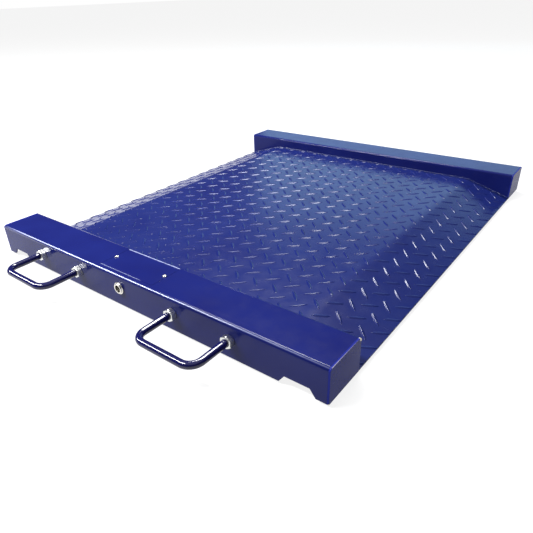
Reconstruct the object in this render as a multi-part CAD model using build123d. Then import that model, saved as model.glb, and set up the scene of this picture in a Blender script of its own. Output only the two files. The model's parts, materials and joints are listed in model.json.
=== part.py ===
"""Low platform scale: tread deck with two ramps between two box rails, four load cells, lifting handles."""
from build123d import *
import math
import os

os.makedirs("parts", exist_ok=True)

# ---------------------------------------------------------------------------
# Driving dimensions, millimetres.
# Working frame: X from the left ends of the rails, Y from the front rail's outer face,
# Z from the rails' lower edges. emit() moves every piece into the part's own frame.
# ---------------------------------------------------------------------------
RAIL_LENGTH = 1000.0
OVERALL_DEPTH = 1200.0          # outer face of front rail to outer face of rear rail
RAIL_WIDTH = 105.0
RAIL_HEIGHT = 76.0
RAIL_WALL = 4.0
RAIL_BEND = 7.0                 # outside radius of the folded corners
END_PLATE = 4.0
FLOOR_GAP = 6.0                 # rails' lower edges above the floor

NOTCH_INSET = 25.5              # rail end to the notch's lower corner
NOTCH_FOOT = 75.5               # notch width along the lower edge
NOTCH_TOP = 51.5
NOTCH_HEIGHT = 16.5

DECK_TOP = 42.5
DECK_PLATE = 4.0
RAMP_RUN = 132.5
RAMP_TIP = 3.0                  # height of the ramp's top edge at its tip
RAMP_UNDERCUT = 0.6             # lowest point of the ramp above the rails' lower edges

CROSSBAR_WIDTH = 50.0
CROSSBAR_HEIGHT = 30.0
CROSSBAR_WALL = 3.0
CROSSBAR_INSET = 200.0          # rail end to the middle of the outer tubes
CROSSBAR_BEND = 5.0

RIB_THICK = 5.0
RIB_COUNT = 4
RIB_HEEL = 18.0                 # depth of a rib at the crease
RIB_SETBACK = 14.0              # ramp tip to the rib's thin end

CONDUIT_OFFSET = 135.0          # right of the service centre line
CONDUIT_Z = 19.0
CONDUIT_OD = 22.0
CONDUIT_WALL = 2.0
CONDUIT_REACH = 10.0            # past the inner face of each rail's inner web

SERVICE_SHIFT = 15.0            # service centre line, left of the rail's middle
COVER_LENGTH = 170.0
COVER_FRONT_EDGE = 14.75        # rail's outer face to the cover
COVER_BACK_EDGE = 7.25          # cover to the rail's inner face
COVER_SEAM = 0.6                # gap round the cover
COVER_FRAME_THICK = 4.0
COVER_LEDGE = 10.0
COVER_FRAME_RIM = 9.0           # past the cover's ends
COVER_FRAME_FRONT = 4.5         # past the cover's front edge
COVER_CORNER = 3.0
COVER_SCREW_INSET = 5.5         # cover's end to the screw
COVER_SCREW_D = 5.0
COVER_SCREW_HEAD = 9.5
COVER_SCREW_HEAD_H = 2.6
COVER_SCREW_LENGTH = 12.0
RECESS_ARM = 0.55               # crossed recess: shares of the screw head
RECESS_SLOT = 0.12
RECESS_DEPTH = 0.6

HANDLE_ROD = 16.0
HANDLE_SPACING = 150.0          # between the two legs of one handle
HANDLE_OFFSET = 230.0           # handle's middle to SERVICE_X
HANDLE_REACH = 100.0            # face to the grip's centre line
HANDLE_BEND = 26.0
HANDLE_Z = 42.0
HANDLE_TAIL = 24.0              # leg's threaded end behind the rail's outer face
NUT16_AF = 24.0
NUT16_H = 13.0
NUT_CHAMFER = 0.8

SOCKET_SHIFT = 8.0              # left of the service centre line
SOCKET_Z = 45.0
SOCKET_FLANGE = 28.0
SOCKET_FLANGE_T = 3.0
SOCKET_RING = 23.0
SOCKET_NOSE = 6.0
SOCKET_BORE = 16.6
SOCKET_BODY = 20.0
SOCKET_BODY_END = 14.0
SOCKET_TAIL = 9.0
SOCKET_TAIL_END = 20.0
SOCKET_FACE_Y = 3.0             # contact face behind the rail's outer face
SOCKET_CONTACTS = 5
SOCKET_CONTACT_D = 2.0
SOCKET_CONTACT_R = 4.6
SOCKET_CONTACT_DEPTH = 6.0
SOCKET_SHOULDER = 1.0
SOCKET_NUT_AF = 25.0
SOCKET_NUT_H = 4.0

BOX_LENGTH = 120.0
BOX_WIDTH = 50.0
BOX_HEIGHT = 35.0
BOX_WALL = 3.0
BOX_LID = 3.0
BOX_CORNER = 4.0
BOX_SCREW_D = 4.0
BOX_SCREW_HEAD = 7.0
BOX_SCREW_HEAD_H = 2.2
BOX_SCREW_LENGTH = 14.0
BOX_POST = 8.0
BOX_HEADROOM = 10.8             # lid screws to the cover's frame
TRAY_MARGIN = 10.0              # past each end of the box
TRAY_THICK = 3.0
BOARD_THICK = 1.6
BOARD_RISE = 6.0
BOARD_MARGIN = 1.0
TERMINAL_LENGTH = 15.0
TERMINAL_WIDTH = 8.0
TERMINAL_HEIGHT = 9.0
TERMINAL_PITCH = 18.0
GLAND_PITCH = 15.5
GLAND_BELOW_RIM = 12.0
GLAND_AF = 14.0
GLAND_HEX = 6.0
GLAND_DOME = 9.0
GLAND_DOME_D = 12.0
GLAND_TIP_D = 8.0
GLAND_THREAD = 10.0
CABLE_D = 5.0
CABLE_LEAD = 32.0               # straight length out of a cell
CABLE_BEND_SHARE = 0.45         # of the shorter run beside a corner
FRONT_SLANT = 0.42              # share of a front cable's run to the end of its first slant
FRONT_SLANT_SIDE = 0.35         # share of its sideways and downward moves by then
FRONT_SQUARE = 0.82             # share of its run where it lines up with its gland
LANE = 3.2                      # each rear cable's offset from the conduit's axis
REAR_DROP = 76.8                # start of the slope down to the conduit, before its lane
REAR_SAG = (4.0, 2.0)           # sideways and downward, at the start of that slope
GLAND_RISE = {"left": 30.0, "right": 34.0}  # gland tip to the foot of each rear cable's rise
OUTPUT_REACH = 38.0             # output lead past its gland before it turns
OUTPUT_STEP = 3.0

CELL_LENGTH = 130.0
CELL_SECTION = 32.0
CELL_TOP_GAP = 8.0              # mount block thickness: cell's top to the rail's top wall
CELL_END = 16.0                 # end of the cell to its nearest hole
CELL_BOLT_PITCH = 25.4
CELL_RELIEF_D = 24.0
CELL_RELIEF_DEPTH = 7.0
CELL_EXIT_D = 9.0
CELL_EXIT_LENGTH = 12.0
BLOCK_LENGTH = 66.0
BLOCK_WIDTH = 60.0
BOLT12 = 12.0
BOLT12_HOLE = 13.0
BOLT12_HEAD = 18.0
BOLT12_HEAD_H = 12.0
BOLT12_HEX = 10.0
BOLT12_HEX_DEPTH = 6.0

STUD_D = 12.0
STUD_FIT = 0.05                 # radial running clearance
STUD_TOP_BELOW = 3.0            # stud's top below the cell's top
BALL_D = 16.0
BALL_Z = 6.0
PAD_D = 46.0
PAD_EDGE = 1.5
PAD_RIM_H = 5.0
PAD_COLLAR_D = 24.0
PAD_COLLAR_H = 5.0
PAD_LIP = 1.5                   # collar's mouth narrower than the ball
PAD_TOP = 10.0
LOCK_NUT_AF = 19.0
LOCK_NUT_H = 8.0

WHEEL_INSET = 180.0             # rail end to the wheel's middle
WHEEL_D = 60.0
WHEEL_CLEAR = 4.5               # wheel above the floor when the scale stands on its feet
WHEEL_BACK_GAP = 6.0            # bracket's base plate to the tyre
HUB_D = 44.0
HUB_WIDTH = 25.0
HUB_BOSS_D = 22.0
HUB_DISH = 3.0
HUB_DRAFT = 1.0
TYRE_WIDTH = 23.0
TYRE_CROWN = 4.0
AXLE_D = 12.0
AXLE_FIT = 0.06
AXLE_END = 3.0                  # axle bolt past its nut
WHEEL_SIDE_GAP = 1.5
BRACKET_WALL = 4.0
BRACKET_LENGTH = 74.0
BRACKET_HEIGHT = 56.0
CHEEK_HEIGHT = 34.0
BRACKET_BOLT_D = 8.0
BRACKET_BOLT_AF = 13.0
BRACKET_BOLT_H = 5.3
BRACKET_BOLT_GRIP = 16.0
BRACKET_BOLT_INSET = 9.0

# Worked-out values
SERVICE_X = RAIL_LENGTH / 2 - SERVICE_SHIFT         # centre line of the cover, junction box and handles
SOCKET_X = SERVICE_X - SOCKET_SHIFT
CONDUIT_X = SERVICE_X + CONDUIT_OFFSET
CROSSBAR_X = {"left": CROSSBAR_INSET, "middle": RAIL_LENGTH / 2, "right": RAIL_LENGTH - CROSSBAR_INSET}
COVER_WIDTH = RAIL_WIDTH - COVER_FRONT_EDGE - COVER_BACK_EDGE
COVER_Y = COVER_FRONT_EDGE + COVER_WIDTH / 2
COVER_FRAME_Z = RAIL_HEIGHT - RAIL_WALL - COVER_FRAME_THICK
REAR_WEB = OVERALL_DEPTH - RAIL_WIDTH               # inner face line of the rear rail
CLEAR_WIDTH = REAR_WEB - RAIL_WIDTH
FOOT_X = NOTCH_INSET + NOTCH_FOOT / 2
RAIL_MID = RAIL_WIDTH / 2
CELL_TOP = RAIL_HEIGHT - RAIL_WALL - CELL_TOP_GAP
CELL_BOTTOM = CELL_TOP - CELL_SECTION
CELL_FIXED_X = FOOT_X - CELL_END + CELL_LENGTH
CELL_MID_Z = CELL_TOP - CELL_SECTION / 2
BOX_BACK = RAIL_WIDTH - RAIL_WALL
BOX_MID_Y = BOX_BACK - BOX_WIDTH / 2
BOX_RIM = COVER_FRAME_Z - BOX_HEADROOM - BOX_SCREW_HEAD_H - BOX_LID
BOX_FLOOR = BOX_RIM - BOX_HEIGHT
TRAY_Z = BOX_FLOOR - TRAY_THICK
GLAND_Z = BOX_RIM - GLAND_BELOW_RIM
GLAND_Y = [BOX_MID_Y + k * GLAND_PITCH for k in (-1, 0, 1)]
GLAND_TIP = BOX_LENGTH / 2 + GLAND_HEX + GLAND_DOME
GLAND_RIGHT = SERVICE_X + GLAND_TIP
GLAND_LEFT = SERVICE_X - GLAND_TIP
SOCKET_BEND_Y = (SOCKET_TAIL_END + BOX_BACK - BOX_WIDTH) / 2
REAR_MID = OVERALL_DEPTH - RAIL_MID
WHEEL_Z = -FLOOR_GAP + WHEEL_CLEAR + WHEEL_D / 2
WHEEL_Y = OVERALL_DEPTH + BRACKET_WALL + WHEEL_BACK_GAP + WHEEL_D / 2
BRACKET_INNER = HUB_WIDTH / 2 + WHEEL_SIDE_GAP
Y_FRONT = -HANDLE_REACH - HANDLE_ROD / 2
Y_BACK = WHEEL_Y + WHEEL_D / 2
Y_MID = (Y_FRONT + Y_BACK) / 2
PLACE = Pos(-RAIL_LENGTH / 2, -Y_MID, FLOOR_GAP)

CORNERS = ("front_left", "front_right", "rear_left", "rear_right")
WHEELS = {"left": WHEEL_INSET, "right": RAIL_LENGTH - WHEEL_INSET}
HANDLES = {"left": SERVICE_X - HANDLE_OFFSET, "right": SERVICE_X + HANDLE_OFFSET}


def emit(name, *solids):
    """Move the solids into the part's frame and write them as one node."""
    placed = [PLACE * s for s in solids]
    shape = placed[0] if len(placed) == 1 else Compound(children=placed)
    export_step(shape, f"parts/{name}.step")
    print(f"{name}: {len(placed)} piece(s)")


def box(x0, x1, y0, y1, z0, z1):
    """Solid box between two corners."""
    return Pos((x0 + x1) / 2, (y0 + y1) / 2, (z0 + z1) / 2) * Box(x1 - x0, y1 - y0, z1 - z0)


def rod(start, end, diameter):
    """Round bar between two points on one axis."""
    a, b = Vector(*start), Vector(*end)
    return Solid.make_cylinder(diameter / 2, (b - a).length, Plane(origin=a, z_dir=(b - a).normalized()))


def hexagon(start, end, across_flats, chamfer=0.0):
    """Hexagonal bar between two points, its outer corners turned off at the far end."""
    a, b = Vector(*start), Vector(*end)
    height = (b - a).length
    plane = Plane(origin=a, z_dir=(b - a).normalized())
    prism = extrude(plane * RegularPolygon(across_flats / 2, 6, major_radius=False), height)
    if chamfer:
        corner = across_flats / math.sqrt(3)
        cone = Solid.make_cone(corner + height, corner - chamfer, height + chamfer, plane)
        prism = prism & cone
    return prism


def mirror_rail(solid):
    """The same piece on the other long side of the scale."""
    return mirror(solid, Plane.XZ.offset(-OVERALL_DEPTH / 2))


def mirror_ends(solid):
    """The same piece at the right-hand end."""
    return mirror(solid, Plane.YZ.offset(RAIL_LENGTH / 2))


# ---------------------------------------------------------------------------
# Frame: rails, end plates, deck, stiffeners
# ---------------------------------------------------------------------------
def rail_outline(inset):
    """Rail section in Y-Z, rounded at its two upper corners, drawn a given depth inside its skin."""
    width = RAIL_WIDTH - 2 * inset
    height = RAIL_HEIGHT - inset
    plane = Plane(origin=(0, RAIL_MID, height / 2), x_dir=(0, 1, 0), z_dir=(1, 0, 0))
    face = plane * Rectangle(width, height)
    upper = face.vertices().sort_by(Axis.Z)[-2:]
    return fillet(upper, RAIL_BEND - inset)


def notch(y0, y1):
    """Cutter for the two trapezoid notches in an outer web's lower edge."""
    half_foot, half_top = NOTCH_FOOT / 2, NOTCH_TOP / 2
    points = [(-half_foot, 0), (half_foot, 0), (half_top, NOTCH_HEIGHT), (-half_top, NOTCH_HEIGHT)]
    outline = Plane.XZ * make_face(Polyline(*points, close=True))
    cutter = extrude(outline, y1 - y0, dir=(0, 1, 0))
    return [Pos(x, y0, 0) * cutter for x in (FOOT_X, RAIL_LENGTH - FOOT_X)]


def channel():
    """Folded inverted channel between the end plates, with notches and the conduit hole."""
    length = RAIL_LENGTH - 2 * END_PLATE
    shell = extrude(Pos(END_PLATE, 0, 0) * rail_outline(0), length, dir=(1, 0, 0))
    shell -= extrude(Pos(END_PLATE, 0, 0) * rail_outline(RAIL_WALL), length, dir=(1, 0, 0))
    for cutter in notch(0, RAIL_WALL):
        shell -= cutter
    web_in = RAIL_WIDTH - RAIL_WALL
    shell -= rod((CONDUIT_X, web_in, CONDUIT_Z), (CONDUIT_X, RAIL_WIDTH, CONDUIT_Z), CONDUIT_OD)
    return shell


def cover_outline(grow):
    """Cover's plan outline, grown on every side."""
    face = Pos(SERVICE_X, COVER_Y, 0) * Rectangle(COVER_LENGTH + 2 * grow, COVER_WIDTH + 2 * grow)
    return fillet(face.vertices(), COVER_CORNER + grow)


def slab(face, z0, z1):
    """Plate of the given outline between two heights."""
    return extrude(Pos(0, 0, z0) * face, z1 - z0, dir=(0, 0, 1))


def front_rail():
    """Front rail: opening for the cover, holes for the handles and the socket."""
    shell = channel()
    shell -= slab(cover_outline(COVER_SEAM), RAIL_HEIGHT - RAIL_WALL, RAIL_HEIGHT)
    for centre in HANDLES.values():
        for x in (centre - HANDLE_SPACING / 2, centre + HANDLE_SPACING / 2):
            shell -= rod((x, 0, HANDLE_Z), (x, RAIL_WALL, HANDLE_Z), HANDLE_ROD)
    shell -= rod((SOCKET_X, 0, SOCKET_Z), (SOCKET_X, RAIL_WALL, SOCKET_Z), SOCKET_BODY)
    return shell


def bracket_bolt_points():
    """Bolt centres of the two wheel brackets, on the rear face."""
    half_l = BRACKET_LENGTH / 2 - BRACKET_BOLT_INSET
    half_h = BRACKET_HEIGHT / 2 - BRACKET_BOLT_INSET
    return [(x + sx * half_l, WHEEL_Z + sz * half_h)
            for x in WHEELS.values() for sx in (-1, 1) for sz in (-1, 1)]


def rear_rail():
    """Rear rail: mirror of the plain channel, drilled for the wheel brackets."""
    shell = mirror_rail(channel())
    for x, z in bracket_bolt_points():
        shell -= rod((x, OVERALL_DEPTH - RAIL_WALL, z), (x, OVERALL_DEPTH, z), BRACKET_BOLT_D)
    return shell


def end_plate():
    """Flat plate that closes a rail's left end."""
    return extrude(rail_outline(0), END_PLATE, dir=(1, 0, 0))


def ramp_slope():
    """Rise per length of a ramp's top face."""
    return (DECK_TOP - RAMP_TIP) / RAMP_RUN


def ramp_drop():
    """Vertical thickness of the ramp plate."""
    return DECK_PLATE * math.sqrt(1 + ramp_slope() ** 2)


def ramp_under_x(z):
    """Where the left ramp's underside is at a given height."""
    return (z - RAMP_TIP + ramp_drop()) / ramp_slope()


def deck_plate():
    """Bent deck: flat middle and a ramp at each end, between the rails' inner webs."""
    crease_z = DECK_TOP - DECK_PLATE
    left = [(ramp_under_x(crease_z), crease_z), (ramp_under_x(RAMP_UNDERCUT), RAMP_UNDERCUT),
            (0, RAMP_UNDERCUT), (0, RAMP_TIP), (RAMP_RUN, DECK_TOP)]
    right = [(RAIL_LENGTH - x, z) for x, z in reversed(left)]
    outline = Plane.XZ * make_face(Polyline(*left, *right, close=True))
    return Pos(0, RAIL_WIDTH, 0) * extrude(outline, CLEAR_WIDTH, dir=(0, 1, 0))


def crossbar(x):
    """Rectangular tube under the deck, from web to web."""
    mid_z = DECK_TOP - DECK_PLATE - CROSSBAR_HEIGHT / 2
    plane = Plane(origin=(x, RAIL_WIDTH, mid_z), x_dir=(1, 0, 0), z_dir=(0, 1, 0))
    outer = RectangleRounded(CROSSBAR_WIDTH, CROSSBAR_HEIGHT, CROSSBAR_BEND)
    inner = RectangleRounded(CROSSBAR_WIDTH - 2 * CROSSBAR_WALL, CROSSBAR_HEIGHT - 2 * CROSSBAR_WALL,
                             CROSSBAR_BEND - CROSSBAR_WALL)
    return extrude(plane * (outer - inner), CLEAR_WIDTH)


def ramp_ribs():
    """Gussets under the left ramp."""
    crease_z = DECK_TOP - DECK_PLATE
    crease_x = ramp_under_x(crease_z)
    thin_z = RAMP_TIP - ramp_drop() + RIB_SETBACK * ramp_slope()
    points = [(RIB_SETBACK, RAMP_UNDERCUT), (RIB_SETBACK, thin_z), (crease_x, crease_z),
              (crease_x, crease_z - RIB_HEEL)]
    outline = Plane.XZ * make_face(Polyline(*points, close=True))
    rib = extrude(outline, RIB_THICK, dir=(0, 1, 0))
    pitch = CLEAR_WIDTH / RIB_COUNT
    return [Pos(0, RAIL_WIDTH + pitch * (k + 0.5) - RIB_THICK / 2, 0) * rib for k in range(RIB_COUNT)]


def cable_conduit():
    """Round tube that carries the rear cells' cables to the front rail."""
    y0 = RAIL_WIDTH - RAIL_WALL - CONDUIT_REACH
    y1 = REAR_WEB + RAIL_WALL + CONDUIT_REACH
    ends = (CONDUIT_X, y0, CONDUIT_Z), (CONDUIT_X, y1, CONDUIT_Z)
    return rod(*ends, CONDUIT_OD) - rod(*ends, CONDUIT_OD - 2 * CONDUIT_WALL)


# ---------------------------------------------------------------------------
# Handles
# ---------------------------------------------------------------------------
def handle(centre):
    """Bent round bar: two legs through the rail's face and a grip in front of it."""
    x0, x1 = centre - HANDLE_SPACING / 2, centre + HANDLE_SPACING / 2
    route = FilletPolyline((x0, HANDLE_TAIL, HANDLE_Z), (x0, -HANDLE_REACH, HANDLE_Z),
                           (x1, -HANDLE_REACH, HANDLE_Z), (x1, HANDLE_TAIL, HANDLE_Z), radius=HANDLE_BEND)
    section = Plane(origin=(x0, HANDLE_TAIL, HANDLE_Z), z_dir=(0, -1, 0)) * Circle(HANDLE_ROD / 2)
    return sweep(section, path=route)


def handle_nuts(y_seat, y_far):
    """One nut on each of the four legs, seated at one side of the rail's wall."""
    nuts = []
    for centre in HANDLES.values():
        for x in (centre - HANDLE_SPACING / 2, centre + HANDLE_SPACING / 2):
            ends = (x, y_seat, HANDLE_Z), (x, y_far, HANDLE_Z)
            nuts.append(hexagon(*ends, NUT16_AF, NUT_CHAMFER) - rod(*ends, HANDLE_ROD))
    return nuts


# ---------------------------------------------------------------------------
# Access cover and junction box
# ---------------------------------------------------------------------------
def screw_points():
    """Centres of the two cover screws."""
    reach = COVER_LENGTH / 2 - COVER_SCREW_INSET
    return [(SERVICE_X + side * reach, COVER_Y) for side in (-1, 1)]


def access_cover():
    """Flush cover, drilled for its two screws."""
    plate = slab(cover_outline(0), RAIL_HEIGHT - RAIL_WALL, RAIL_HEIGHT)
    for x, y in screw_points():
        plate -= rod((x, y, RAIL_HEIGHT - RAIL_WALL), (x, y, RAIL_HEIGHT), COVER_SCREW_D)
    return plate


def cover_frame():
    """Frame welded under the opening; the cover lies on its ledge."""
    z0, z1 = COVER_FRAME_Z, RAIL_HEIGHT - RAIL_WALL
    y0 = COVER_FRONT_EDGE - COVER_FRAME_FRONT
    half = COVER_LENGTH / 2 + COVER_FRAME_RIM
    frame = box(SERVICE_X - half, SERVICE_X + half, y0, RAIL_WIDTH - RAIL_WALL, z0, z1)
    inside_l, inside_w = COVER_LENGTH / 2 - COVER_LEDGE, COVER_WIDTH / 2 - COVER_LEDGE
    frame -= box(SERVICE_X - inside_l, SERVICE_X + inside_l, COVER_Y - inside_w, COVER_Y + inside_w, z0, z1)
    for x, y in screw_points():
        frame -= rod((x, y, z0), (x, y, z1), COVER_SCREW_D)
    corner = rail_outline(RAIL_WALL)
    envelope = extrude(corner, RAIL_LENGTH, dir=(1, 0, 0))
    return frame & envelope


def pan_screw(x, y, z, shank, head, head_height, length):
    """Pan-head screw with a crossed recess, its head seated at height z."""
    screw = rod((x, y, z - length), (x, y, z), shank)
    dome = Solid.make_cone(head / 2, head / 2 - head_height / 2, head_height, Plane((x, y, z)))
    screw += dome
    arm, slot, depth = head * RECESS_ARM, head * RECESS_SLOT, head_height * RECESS_DEPTH
    top = z + head_height
    screw -= box(x - arm / 2, x + arm / 2, y - slot / 2, y + slot / 2, top - depth, top)
    screw -= box(x - slot / 2, x + slot / 2, y - arm / 2, y + arm / 2, top - depth, top)
    return screw


def junction_tray():
    """Shelf between the rail's webs that holds the junction box."""
    half = BOX_LENGTH / 2 + TRAY_MARGIN
    x0, x1 = SERVICE_X - half, SERVICE_X + half
    return box(x0, x1, RAIL_WALL, RAIL_WIDTH - RAIL_WALL, TRAY_Z, TRAY_Z + TRAY_THICK)


def box_post_points():
    """Centres of the lid screws."""
    dx, dy = BOX_LENGTH / 2 - BOX_POST / 2 - BOX_WALL / 2, BOX_WIDTH / 2 - BOX_POST / 2 - BOX_WALL / 2
    return [(SERVICE_X + sx * dx, BOX_MID_Y + sy * dy) for sx in (-1, 1) for sy in (-1, 1)]


def gland_ports():
    """Each gland's height and place: (x direction, y)."""
    return [(1, GLAND_Y[0]), (1, GLAND_Y[1]), (1, GLAND_Y[2]), (-1, GLAND_Y[0]), (-1, GLAND_Y[2])]


def box_plan(length, width, corner):
    """Rounded plan of the junction box."""
    return Pos(SERVICE_X, BOX_MID_Y, 0) * RectangleRounded(length, width, corner)


def junction_box_body():
    """Open box with a screw post in each corner and a port for each gland."""
    body = slab(box_plan(BOX_LENGTH, BOX_WIDTH, BOX_CORNER), BOX_FLOOR, BOX_RIM)
    inner = box_plan(BOX_LENGTH - 2 * BOX_WALL, BOX_WIDTH - 2 * BOX_WALL, BOX_CORNER - BOX_WALL)
    cavity = slab(inner, BOX_FLOOR + BOX_WALL, BOX_RIM)
    for x, y in box_post_points():
        cavity -= rod((x, y, BOX_FLOOR), (x, y, BOX_RIM), BOX_POST)
    body -= cavity
    for x, y in box_post_points():
        body -= rod((x, y, BOX_RIM - BOX_SCREW_LENGTH), (x, y, BOX_RIM), BOX_SCREW_D)
    for side, y in gland_ports():
        outside = SERVICE_X + side * BOX_LENGTH / 2
        body -= rod((outside - side * BOX_WALL, y, GLAND_Z), (outside, y, GLAND_Z), GLAND_THREAD)
    rest = BOX_FLOOR + BOX_WALL
    for sx in (-1, 1):
        x = SERVICE_X + sx * BOX_LENGTH / 4
        body += rod((x, BOX_MID_Y, rest), (x, BOX_MID_Y, rest + BOARD_RISE), BOX_POST)
    return body


def junction_box_lid():
    """Flat lid, drilled for its four screws."""
    lid = slab(box_plan(BOX_LENGTH, BOX_WIDTH, BOX_CORNER), BOX_RIM, BOX_RIM + BOX_LID)
    for x, y in box_post_points():
        lid -= rod((x, y, BOX_RIM), (x, y, BOX_RIM + BOX_LID), BOX_SCREW_D)
    return lid


def board_level():
    """Underside of the circuit board."""
    return BOX_FLOOR + BOX_WALL + BOARD_RISE


def junction_board():
    """Circuit board that joins the four cells' signals, cut back clear of the screw posts."""
    length = BOX_LENGTH - 2 * BOX_WALL - 2 * BOX_POST - 2 * BOARD_MARGIN
    width = BOX_WIDTH - 2 * BOX_WALL - 2 * BOARD_MARGIN
    plan = Pos(SERVICE_X, BOX_MID_Y, 0) * Rectangle(length, width)
    return slab(plan, board_level(), board_level() + BOARD_THICK)


def terminal_blocks():
    """Screw terminals in a row on the board, one for each cable."""
    z0 = board_level() + BOARD_THICK
    blocks = []
    for k in range(-2, 3):
        x = SERVICE_X + k * TERMINAL_PITCH
        block = box(x - TERMINAL_LENGTH / 2, x + TERMINAL_LENGTH / 2,
                    BOX_MID_Y - TERMINAL_WIDTH / 2, BOX_MID_Y + TERMINAL_WIDTH / 2, z0, z0 + TERMINAL_HEIGHT)
        blocks.append(block)
    return blocks


def cable_glands():
    """Hexagon body and domed cap of each gland, threaded through the box wall."""
    glands = []
    for side, y in gland_ports():
        wall = SERVICE_X + side * BOX_LENGTH / 2
        inside = wall - side * BOX_WALL
        shoulder = wall + side * GLAND_HEX
        tip = shoulder + side * GLAND_DOME
        gland = rod((inside, y, GLAND_Z), (wall, y, GLAND_Z), GLAND_THREAD)
        gland += hexagon((wall, y, GLAND_Z), (shoulder, y, GLAND_Z), GLAND_AF)
        dome_plane = Plane(origin=(shoulder, y, GLAND_Z), z_dir=(side, 0, 0))
        gland += Solid.make_cone(GLAND_DOME_D / 2, GLAND_TIP_D / 2, abs(tip - shoulder), dome_plane)
        glands.append(gland)
    return glands


# ---------------------------------------------------------------------------
# Indicator socket
# ---------------------------------------------------------------------------
def socket_shell():
    """Turned socket: flange on the face, raised ring, body through the wall, tail for the lead."""
    profile = [(SOCKET_BORE / 2, SOCKET_NOSE), (SOCKET_RING / 2, SOCKET_NOSE),
               (SOCKET_RING / 2, SOCKET_FLANGE_T), (SOCKET_FLANGE / 2, SOCKET_FLANGE_T),
               (SOCKET_FLANGE / 2, 0), (SOCKET_BODY / 2, 0), (SOCKET_BODY / 2, -SOCKET_BODY_END),
               (SOCKET_TAIL / 2, -SOCKET_BODY_END - SOCKET_SHOULDER), (SOCKET_TAIL / 2, -SOCKET_TAIL_END),
               (0, -SOCKET_TAIL_END), (0, -SOCKET_BODY_END + SOCKET_SHOULDER),
               (SOCKET_BORE / 2, -SOCKET_BODY_END + SOCKET_SHOULDER)]
    face = make_face(Polyline(*profile, close=True))
    turned = revolve(face, Axis.Y, 360)
    return Pos(SOCKET_X, 0, SOCKET_Z) * Rot(0, 0, 180) * turned


def socket_insert():
    """Moulded insert with one hole for each contact."""
    back = SOCKET_BODY_END - SOCKET_SHOULDER
    ends = (SOCKET_X, SOCKET_FACE_Y, SOCKET_Z), (SOCKET_X, back, SOCKET_Z)
    insert = rod(*ends, SOCKET_BORE)
    for k in range(SOCKET_CONTACTS):
        angle = math.radians(90 + 360 / SOCKET_CONTACTS * k)
        x = SOCKET_X + SOCKET_CONTACT_R * math.cos(angle)
        z = SOCKET_Z + SOCKET_CONTACT_R * math.sin(angle)
        insert -= rod((x, SOCKET_FACE_Y, z), (x, SOCKET_FACE_Y + SOCKET_CONTACT_DEPTH, z), SOCKET_CONTACT_D)
    return insert


def socket_nut():
    """Thin nut that holds the socket from inside the rail."""
    ends = (SOCKET_X, RAIL_WALL, SOCKET_Z), (SOCKET_X, RAIL_WALL + SOCKET_NUT_H, SOCKET_Z)
    return hexagon(*ends, SOCKET_NUT_AF, NUT_CHAMFER) - rod(*ends, SOCKET_BODY)


# ---------------------------------------------------------------------------
# Load cells and feet (built at the front left corner, mirrored to the others)
# ---------------------------------------------------------------------------
def at_corner(solid, corner):
    """Mirror a front-left piece to the named corner."""
    if corner.endswith("right"):
        solid = mirror_ends(solid)
    if corner.startswith("rear"):
        solid = mirror_rail(solid)
    return solid


def cell_bolt_x():
    """The two mounting holes of the front-left cell."""
    first = CELL_FIXED_X - CELL_END
    return [first, first - CELL_BOLT_PITCH]


def load_cell():
    """Single-ended beam: two mounting holes, a sensing waist and a threaded hole for the foot."""
    x0, x1 = FOOT_X - CELL_END, CELL_FIXED_X
    y0, y1 = RAIL_MID - CELL_SECTION / 2, RAIL_MID + CELL_SECTION / 2
    beam = box(x0, x1, y0, y1, CELL_BOTTOM, CELL_TOP)
    for x in cell_bolt_x():
        beam -= rod((x, RAIL_MID, CELL_BOTTOM), (x, RAIL_MID, CELL_TOP), BOLT12_HOLE)
    beam -= rod((FOOT_X, RAIL_MID, CELL_BOTTOM), (FOOT_X, RAIL_MID, CELL_TOP), STUD_D + 2 * STUD_FIT)
    waist_x = (FOOT_X + cell_bolt_x()[1]) / 2
    for ya, yb in ((y0, y0 + CELL_RELIEF_DEPTH), (y1 - CELL_RELIEF_DEPTH, y1)):
        beam -= rod((waist_x, ya, CELL_MID_Z), (waist_x, yb, CELL_MID_Z), CELL_RELIEF_D)
    beam += rod((x1, RAIL_MID, CELL_MID_Z), (x1 + CELL_EXIT_LENGTH, RAIL_MID, CELL_MID_Z), CELL_EXIT_D)
    return beam


def mount_block():
    """Plate welded under the rail's top wall, tapped for the cell's bolts."""
    mid = sum(cell_bolt_x()) / 2
    block = box(mid - BLOCK_LENGTH / 2, mid + BLOCK_LENGTH / 2, RAIL_MID - BLOCK_WIDTH / 2,
                RAIL_MID + BLOCK_WIDTH / 2, CELL_TOP, RAIL_HEIGHT - RAIL_WALL)
    for x in cell_bolt_x():
        block -= rod((x, RAIL_MID, CELL_TOP), (x, RAIL_MID, RAIL_HEIGHT - RAIL_WALL), BOLT12)
    return block


def cell_bolts():
    """Two socket-head screws from below the cell into the mount block."""
    bolts = []
    for x in cell_bolt_x():
        bolt = rod((x, RAIL_MID, CELL_BOTTOM), (x, RAIL_MID, RAIL_HEIGHT - RAIL_WALL), BOLT12)
        bolt += rod((x, RAIL_MID, CELL_BOTTOM - BOLT12_HEAD_H), (x, RAIL_MID, CELL_BOTTOM), BOLT12_HEAD)
        low = CELL_BOTTOM - BOLT12_HEAD_H
        bolt -= hexagon((x, RAIL_MID, low), (x, RAIL_MID, low + BOLT12_HEX_DEPTH), BOLT12_HEX)
        bolts.append(bolt)
    return bolts


def foot_stud():
    """Threaded stud with a ball end."""
    stud = rod((FOOT_X, RAIL_MID, BALL_Z), (FOOT_X, RAIL_MID, CELL_TOP - STUD_TOP_BELOW), STUD_D)
    return stud + Pos(FOOT_X, RAIL_MID, BALL_Z) * Sphere(BALL_D / 2)


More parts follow.
